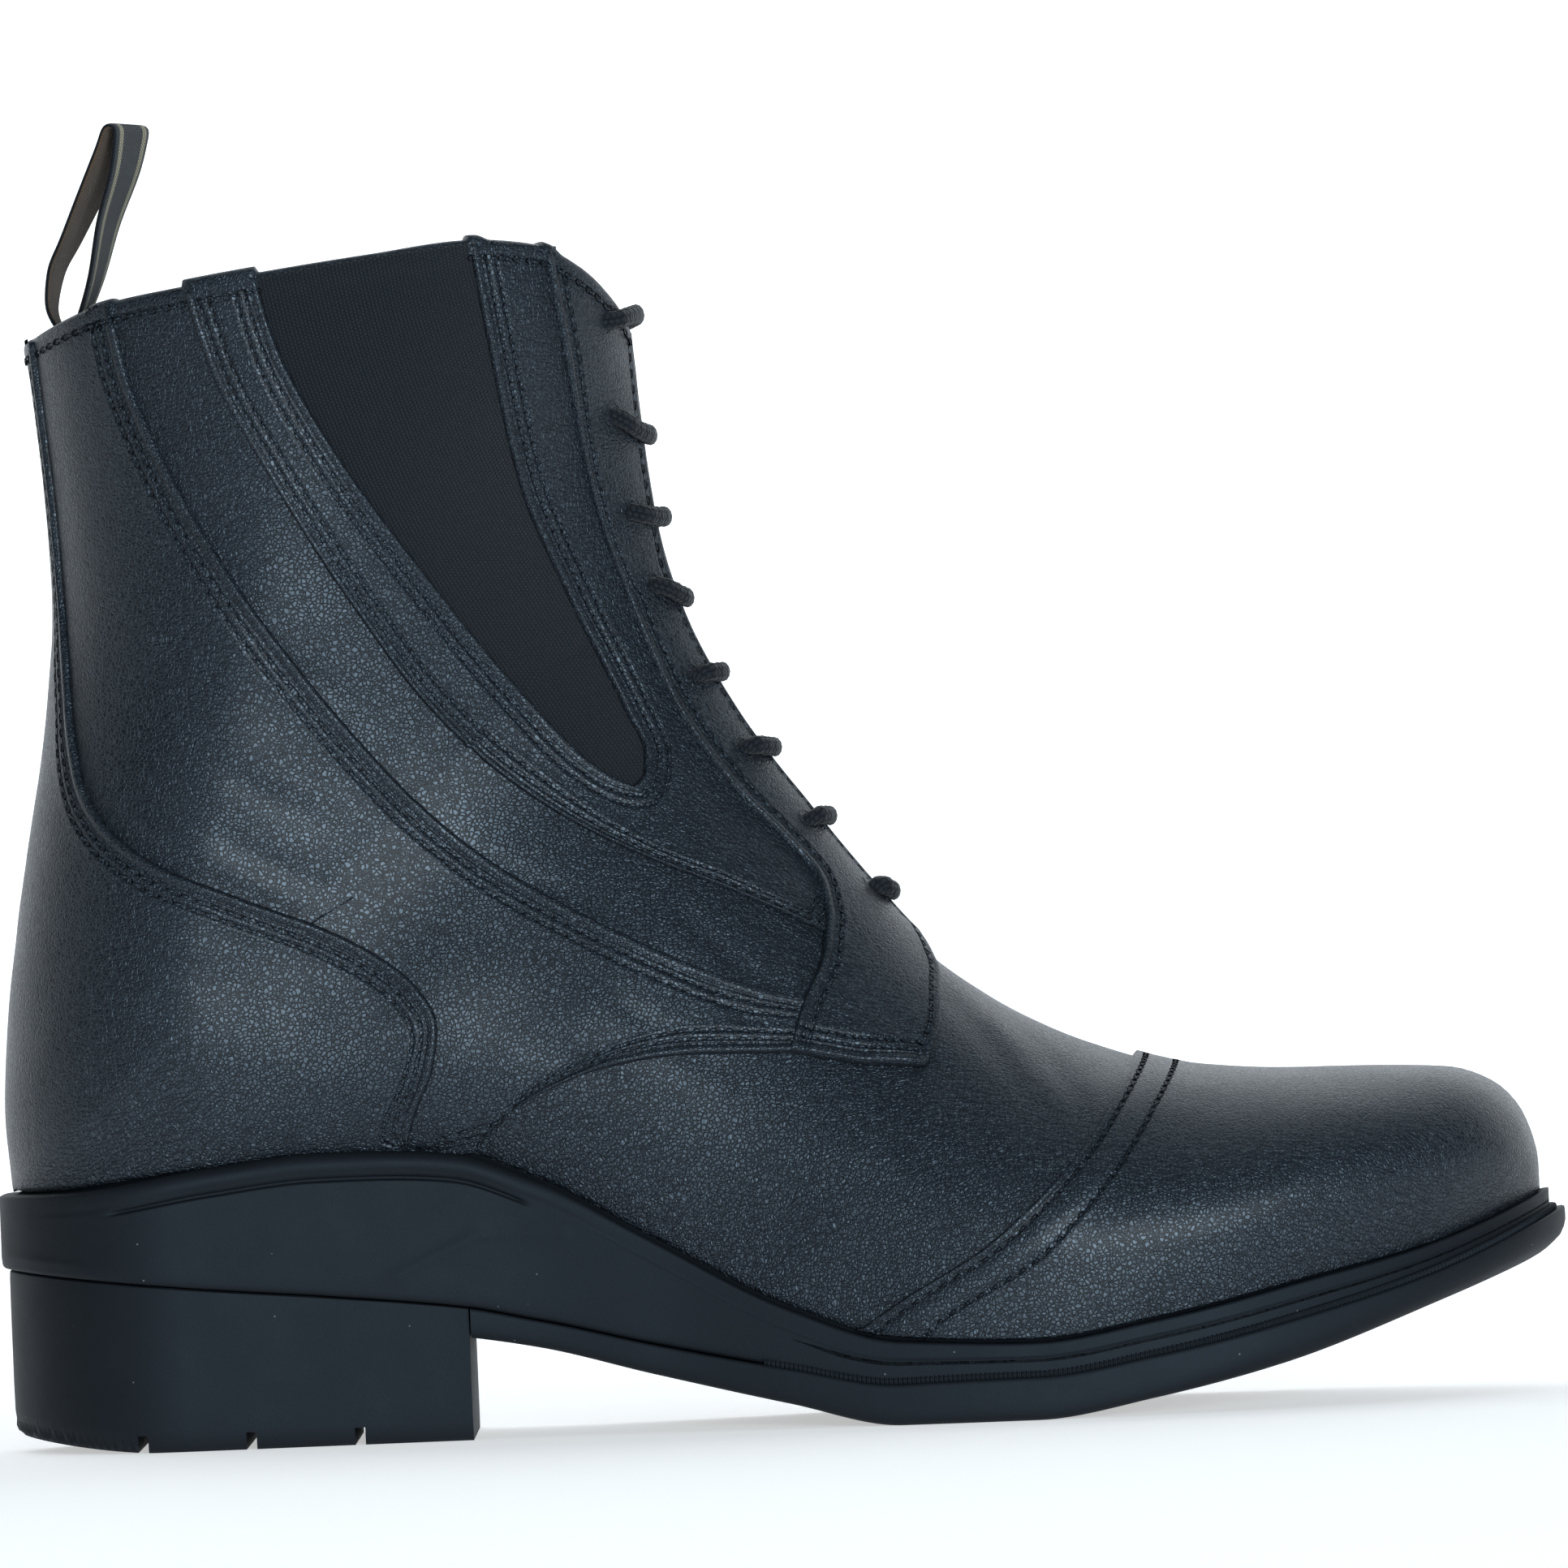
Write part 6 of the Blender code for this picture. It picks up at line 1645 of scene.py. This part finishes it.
def makeMidsole():
    turns = evenTurns(midsole["turns"])
    loops = []

    def addLoop(level, inset=0.0, carve=None, push=None):
        # carve sets in the sides alone
        front = sole["toeStep"] + inset
        side = lambda x: soleValue(x, "step") * sole["weltStep"] + (carve(x) if carve else inset)
        ring = Ring(inset, side, front, level, inset - halfLength, halfLength - front)
        loops.append(footLoop(ring, turns, push))

    def wall(x):
        return rimLine(x) - jointLine(x)

    def atShare(share):
        return lambda x: jointLine(x) + share * wall(x)

    def under(drop):
        return lambda x: rimLine(x) - np.minimum(drop * mm, wall(x) * drop / 9.0)

    def upper(share):
        # from the middle of the wall to just below the slot
        def level(x):
            low = jointLine(x) + 0.5 * wall(x)
            high = rimLine(x) - np.minimum(midsole["upperDrop"], wall(x) * 0.62)
            return low + (np.maximum(high, low) - low) * share
        return level

    def slit(x):
        # where along the side the slot under the rim runs
        start, deep, shallow, end = midsole["slit"]
        return smoothStep(start, deep, x) * (1 - smoothStep(shallow, end, x))

    addLoop(jointLine, 0.5 * mm)
    for share, inset in midsole["foot"]:
        addLoop(atShare(share), inset * mm)
    for share in midsole["lowShares"]:
        addLoop(atShare(share), push=wallPush)
    for share in midsole["upperShares"]:
        addLoop(upper(share), push=wallPush)
    for depth, drop in midsole["slot"]:
        addLoop(under(drop), carve=lambda x: depth * mm * slit(x))
    for out, drop in midsole["band"]:
        addLoop(under(drop), carve=lambda x: (0.35 - out * soleValue(x, "groove")) * mm)
    addLoop(under(0.15), 0.75 * mm)
    addLoop(under(0.0), 1.3 * mm)
    for more, rise in midsole["rim"]:
        loops.append(ledgeLoop(turns, more * mm, above(rimLine, rise)))
    loops.append(ledgeLoop(turns, sole["rimWidth"], bedLine))
    place(stackLoops(loops).build("midsoleCup", ["rubber"], weld=1e-6), "midsole", slot="rubber")


# profile: inset and rise in mm, and the share of the teeth's depth
welt = {"pitch": 0.95 * mm, "tooth": 0.42 * mm, "from": -0.006, "length": 0.76, "perTooth": 6,
        "toeShare": 0.55, "sideShare": 0.75,
        "profile": ((2.6, -0.6, 0), (0.35, -0.55, 0), (0.02, -0.2, 1), (-0.08, 0.25, 1), (0.05, 0.7, 1),
                    (0.5, 1.0, 0.4), (2.6, 1.1, 0))}


def makeWelt():
    # the serrated rib between the midsole and the outsole, round the forefoot
    turns = evenTurns(int(welt["length"] / welt["pitch"]) * welt["perTooth"])
    tooth = np.abs(np.mod(np.arange(len(turns)) / welt["perTooth"], 1) - 0.5) * 2
    valley = 1 - smoothStep(0.15, 0.85, tooth)
    loops = []
    for inset, rise, bite in welt["profile"]:
        front = sole["toeStep"] * welt["toeShare"] + inset * mm
        side = lambda x: soleValue(x, "step") * sole["weltStep"] * welt["sideShare"] + inset * mm
        ring = Ring(0, side, front, above(jointLine, rise), -halfLength, halfLength - front)
        loops.append(footLoop(ring, turns, lambda points: -valley * welt["tooth"] * bite))
    loops = np.array(loops)
    keep = loops[0][:, 0] > welt["from"]
    first = int(np.argmax(keep))
    order = (np.nonzero(np.roll(keep, -first))[0] + first) % len(keep)
    pile = Pile()
    pile.tube(np.transpose(loops[:, order], (1, 0, 2)))
    place(pile.build("serratedWelt", ["rubber"]), slot="rubber")


# profile: inset of the sides and of the toe, in mm, and the share of the height
outsole = {"turns": 560,
           "profile": ((3.2, 6.4, 0.0), (1.5, 5.4, 0.0), (1.0, 4.4, 0.03), (0.6, 3.4, 0.08), (0.3, 2.2, 0.17),
                       (0.12, 1.0, 0.28), (0.02, 0.3, 0.45), (0.0, 0.0, 0.62), (0.0, 0.0, 0.78),
                       (0.03, 0.03, 0.9), (0.12, 0.12, 0.97), (0.4, 0.4, 1.0))}


def upTo(floor, share):
    # a share of the way from a line to the joint above it
    return lambda x: floor(x) + share * (jointLine(x) - sole["seamGap"] - floor(x))


def makeOutsole():
    turns = evenTurns(outsole["turns"])
    start = sole["heelLength"] - halfLength + sole["seamGap"]
    loops = []
    for side, front, share in outsole["profile"]:
        ring = Ring(0, side * mm, front * mm, upTo(groundLine, share), start, halfLength - front * mm)
        loops.append(footLoop(ring, turns))
    place(stackLoops(loops).build("outsoleTread", ["rubber"], weld=1e-6), "outsole", slot="rubber")


# profile: inset as a share of the heel's step, the share of the height, and whether the cuts show there
heelBlock = {"turns": 420, "cutPitch": 1.7 * mm, "cutShare": 0.4, "cutDepth": 0.45 * mm, "cutUntil": -0.118,
             "profile": ((3.0, 0.0, 0), (2.2, 0.0, 0), (1.75, 0.02, 1), (1.45, 0.05, 1), (1.2, 0.09, 0),
                         (1.05, 0.14, 0), (1.0, 0.3, 0), (1.0, 0.55, 0), (1.0, 0.75, 0), (1.03, 0.95, 0),
                         (1.1, 0.99, 0), (1.35, 1.0, 0))}


def heelFloor(x):
    t = np.clip(1 - (x + halfLength) / sole["heelRollLength"], 0, 1)
    return sole["heelRoll"] * t**1.5


def heelCuts(points):
    # small cuts round the back of the heel's foot
    cut = np.mod(runAlong(points[:, :2]) / heelBlock["cutPitch"], 1) < heelBlock["cutShare"]
    return -heelBlock["cutDepth"] * cut * (points[:, 0] < heelBlock["cutUntil"])


def makeHeel():
    turns = evenTurns(heelBlock["turns"])
    loops = []
    for share, high, cuts in heelBlock["profile"]:
        inset = share * sole["heelStep"]
        end = sole["heelLength"] - halfLength
        ring = Ring(inset, inset, 0, upTo(heelFloor, high), inset - halfLength, end)
        loops.append(footLoop(ring, turns, heelCuts if cuts else None))
    heel = stackLoops(loops).build("heelBlock", ["rubber"], weld=1e-6, sharp=50)
    bm = bmesh.new()
    for share in sole["notches"]:
        spot = Matrix.Translation((share * sole["heelLength"] - halfLength, 0, 0))
        size = Matrix.Diagonal((sole["notchWidth"], 2 * boot["ballWidth"], 2 * sole["notchDepth"], 1))
        bmesh.ops.create_cube(bm, size=1, matrix=spot @ size)
    mesh = bpy.data.meshes.new("notches")
    bm.to_mesh(mesh)
    bm.free()
    cutter = bpy.data.objects.new("notches", mesh)
    looks.objects.link(cutter)
    cut = heel.modifiers.new("notches", "BOOLEAN")
    cut.operation, cut.solver, cut.object = "DIFFERENCE", "EXACT", cutter
    graph = bpy.context.evaluated_depsgraph_get()
    done = bpy.data.meshes.new_from_object(heel.evaluated_get(graph))
    heel.modifiers.clear()
    heel.data = done
    bpy.data.objects.remove(cutter)
    heel.data.set_sharp_from_angle(angle=math.radians(40))
    place(heel, "heel", slot="rubber")


# profile: inset and rise in mm
insole = {"turns": 300, "profile": ((0.6, 0.3), (0.6, 2.3), (1.0, 2.7), (1.8, 2.85), (5.0, 2.8), (12.0, 2.4))}


def makeInsole():
    turns = evenTurns(insole["turns"])
    loops = []
    for inset, rise in insole["profile"]:
        loops.append(ledgeLoop(turns, sole["rimWidth"] + inset * mm, above(bedLine, rise)))
    place(stackLoops(loops).build("footbed", ["footbed"], weld=1e-6), "insole", slot="footbed")


# Pull loop

Fold = namedtuple("Fold", "fore rise")
loopFolds = [Fold(*row) for row in (
    (0.00, 0.02), (-0.16, 0.15), (-0.08, 0.32), (0.12, 0.45), (0.42, 0.65), (0.80, 0.90),
    (0.92, 0.98), (1.04, 0.97), (0.96, 0.82), (0.66, 0.53), (0.46, 0.28), (0.22, 0.08),
)]
pullLoop = {"width": 17.5 * mm, "thickness": 1.0 * mm, "rise": 40.5 * mm, "lean": 13.5 * mm, "twist": 20,
            "sewn": 12 * mm, "clear": 1.5 * mm, "apart": 1.4 * mm, "rows": 150, "columns": 29}


def makePullLoop():
    width, thickness, lean, rise = (pullLoop[name] for name in ("width", "thickness", "lean", "rise"))
    top = float(collarAt(1.0))
    base = surface(pair(top, 1.0)[None])[0]
    half = fanRows // 2
    sewnEnd = np.interp(base[2] - pullLoop["sewn"], fanGrid[half:, -1, 2], rowShare[half:])
    beside = surface(pair(top, 1 - roundShare(top, boot["backStrip"], 1))[None], -boot["wall"])[0]
    depth = beside[0] - base[0] + pullLoop["clear"] + thickness / 2
    down = np.linspace(sewnEnd, top, 5)
    outerLeg = surface(pair(down, 1.0), -depth)
    innerLeg = surface(pair(down[::-1], 1.0), -depth - pullLoop["apart"])
    start = outerLeg[-1]
    free = np.array([(start[0] + f.fore * lean, 0, start[2] + f.rise * rise) for f in loopFolds])
    line = np.concatenate([outerLeg, free, innerLeg])
    run = runAlong(line)
    at = np.linspace(0, run[-1], pullLoop["rows"])
    centre = softLine(np.stack([smoothCurve(run, line[:, k], at) for k in range(3)], axis=1), 1.5)
    turn = math.radians(pullLoop["twist"]) * np.clip((centre[:, 2] - start[2]) / rise, 0, 1)
    aside = np.stack([np.sin(turn), np.cos(turn), np.zeros_like(turn)], axis=1)
    out = unit(np.cross(np.gradient(centre, axis=0), aside))
    spread = np.linspace(-0.5, 0.5, pullLoop["columns"])
    thick = thickness / 2 * (0.35 + 0.65 * np.sqrt(np.clip(1 - (np.abs(spread) * 2) ** 14, 0, 1)))
    cloth = np.stack(np.broadcast_arrays(spread * width / mm, at[:, None] / mm), axis=-1)
    middle = centre[:, None] + aside[:, None] * (spread * width)[:, None]
    pile = Pile()
    pile.rim(*(pile.grid(middle + out[:, None] * (sign * thick)[:, None], kind, cloth)
               for kind, sign in enumerate((1, -1))))
    place(pile.build("pullLoop", ["webbing", "webbingBack"]), "pull_loop", slot="webbing")


makeBinding()
makeStitches()
makeEyelets()
makeLace()
makeTongue()
print("stitches, lace and tongue made")
makeMidsole()
makeWelt()
makeOutsole()
makeHeel()
makeInsole()
makePullLoop()
print("sole and pull loop made")

# Floor, lights and camera

studio = {
    "roll": 2.4,
    "centre": (0.0034, 0.0, 0.11745),
    "distance": 3.0,
    "frameWidth": 0.2898,
    "floorFront": -3.6,
    "floorBack": 1.1,
    "sweep": 0.5,
    "wallTop": 2.6,
    "halfWide": 2.6,
    "aim": (0, 0, 0.1),
    "daylight": ((0.80, 0.92, 1.0), 0.08),
}
# Each light's place, size, power and colour
lights = {
    "key": ((0.55, -2.5, 0.31), (1.3, 0.58), 70, (0.84, 0.95, 1.0)),
    "top": ((0.0, -0.2, 2.0), (2.6, 2.6), 7, (0.70, 0.86, 1.0)),
}


def makePaper():
    # pale paper, with a faint glow of its own that grows towards the back wall
    paper, tree, shader = newMaterial("palePaper", (0.86, 0.87, 0.88), 0.9, Specular_IOR_Level=0.1,
                                      Emission_Strength=1.0)
    back = scaled(tree, parted(tree, objectPlace(tree))[1], 0.9, 0.1, clamp=True)
    wire(tree, mixColour(tree, back, (0.46, 0.46, 0.46), (0.66, 0.66, 0.66)), shader.inputs["Emission Color"])
    # seen from behind it is clear, so that the boot shows from every side
    facing = tree.nodes.new("ShaderNodeNewGeometry")
    wire(tree, opposite(tree, facing.outputs["Backfacing"]), shader.inputs["Alpha"])
    return paper


def makeBackdrop():
    materials["paper"] = makePaper()
    back, sweep = studio["floorBack"], studio["sweep"]
    line = [(studio["floorFront"], 0.0), (-1.0, 0.0), (back - sweep, 0.0)]
    for a in np.linspace(0, math.pi / 2, 16)[1:]:
        line.append((back - sweep + sweep * math.sin(a), sweep - sweep * math.cos(a)))
    line.append((back, studio["wallTop"]))
    rings = [[(x, y, z) for x in (-studio["halfWide"], studio["halfWide"])] for y, z in line]
    pile = Pile()
    pile.grid(rings)
    floor = pile.build("paleFloor", ["paper"])
    if floor.data.polygons[0].normal.z < 0:
        floor.data.flip_normals()


def makeLight(name, spot, size, power, colour):
    data = bpy.data.lights.new(name, "AREA")
    data.shape = "RECTANGLE"
    data.size, data.size_y = size
    data.energy = power
    data.color = colour
    light = bpy.data.objects.new(name, data)
    light.location = spot
    light.rotation_mode = "QUATERNION"
    light.rotation_quaternion = (Vector(studio["aim"]) - Vector(spot)).to_track_quat("-Z", "Y")
    bpy.context.scene.collection.objects.link(light)


def makeStudio():
    makeBackdrop()
    scene = bpy.context.scene
    scene.world = bpy.data.worlds.new("studio")
    scene.view_settings.view_transform = "Standard"
    scene.world.use_nodes = True
    colour, strength = scene.world.node_tree.nodes["Background"].inputs[:2]
    colour.default_value = (*studio["daylight"][0], 1)
    strength.default_value = studio["daylight"][1]
    for name, values in lights.items():
        makeLight(name, *values)


def makeCamera():
    roll = math.radians(studio["roll"])
    data = bpy.data.cameras.new("photoCamera")
    data.sensor_width = 36
    data.lens = 36 * studio["distance"] / studio["frameWidth"]
    data.clip_start, data.clip_end = 0.05, 20
    camera = bpy.data.objects.new("photoCamera", data)
    turn = Matrix(((math.cos(roll), math.sin(roll), 0), (0, 0, -1), (-math.sin(roll), math.cos(roll), 0)))
    spot = Vector(studio["centre"]) + Vector((0, -studio["distance"], 0))
    camera.matrix_world = Matrix.Translation(spot) @ turn.to_4x4()
    bpy.context.scene.collection.objects.link(camera)
    bpy.context.scene.camera = camera


makeStudio()
makeCamera()

print("scene ready")
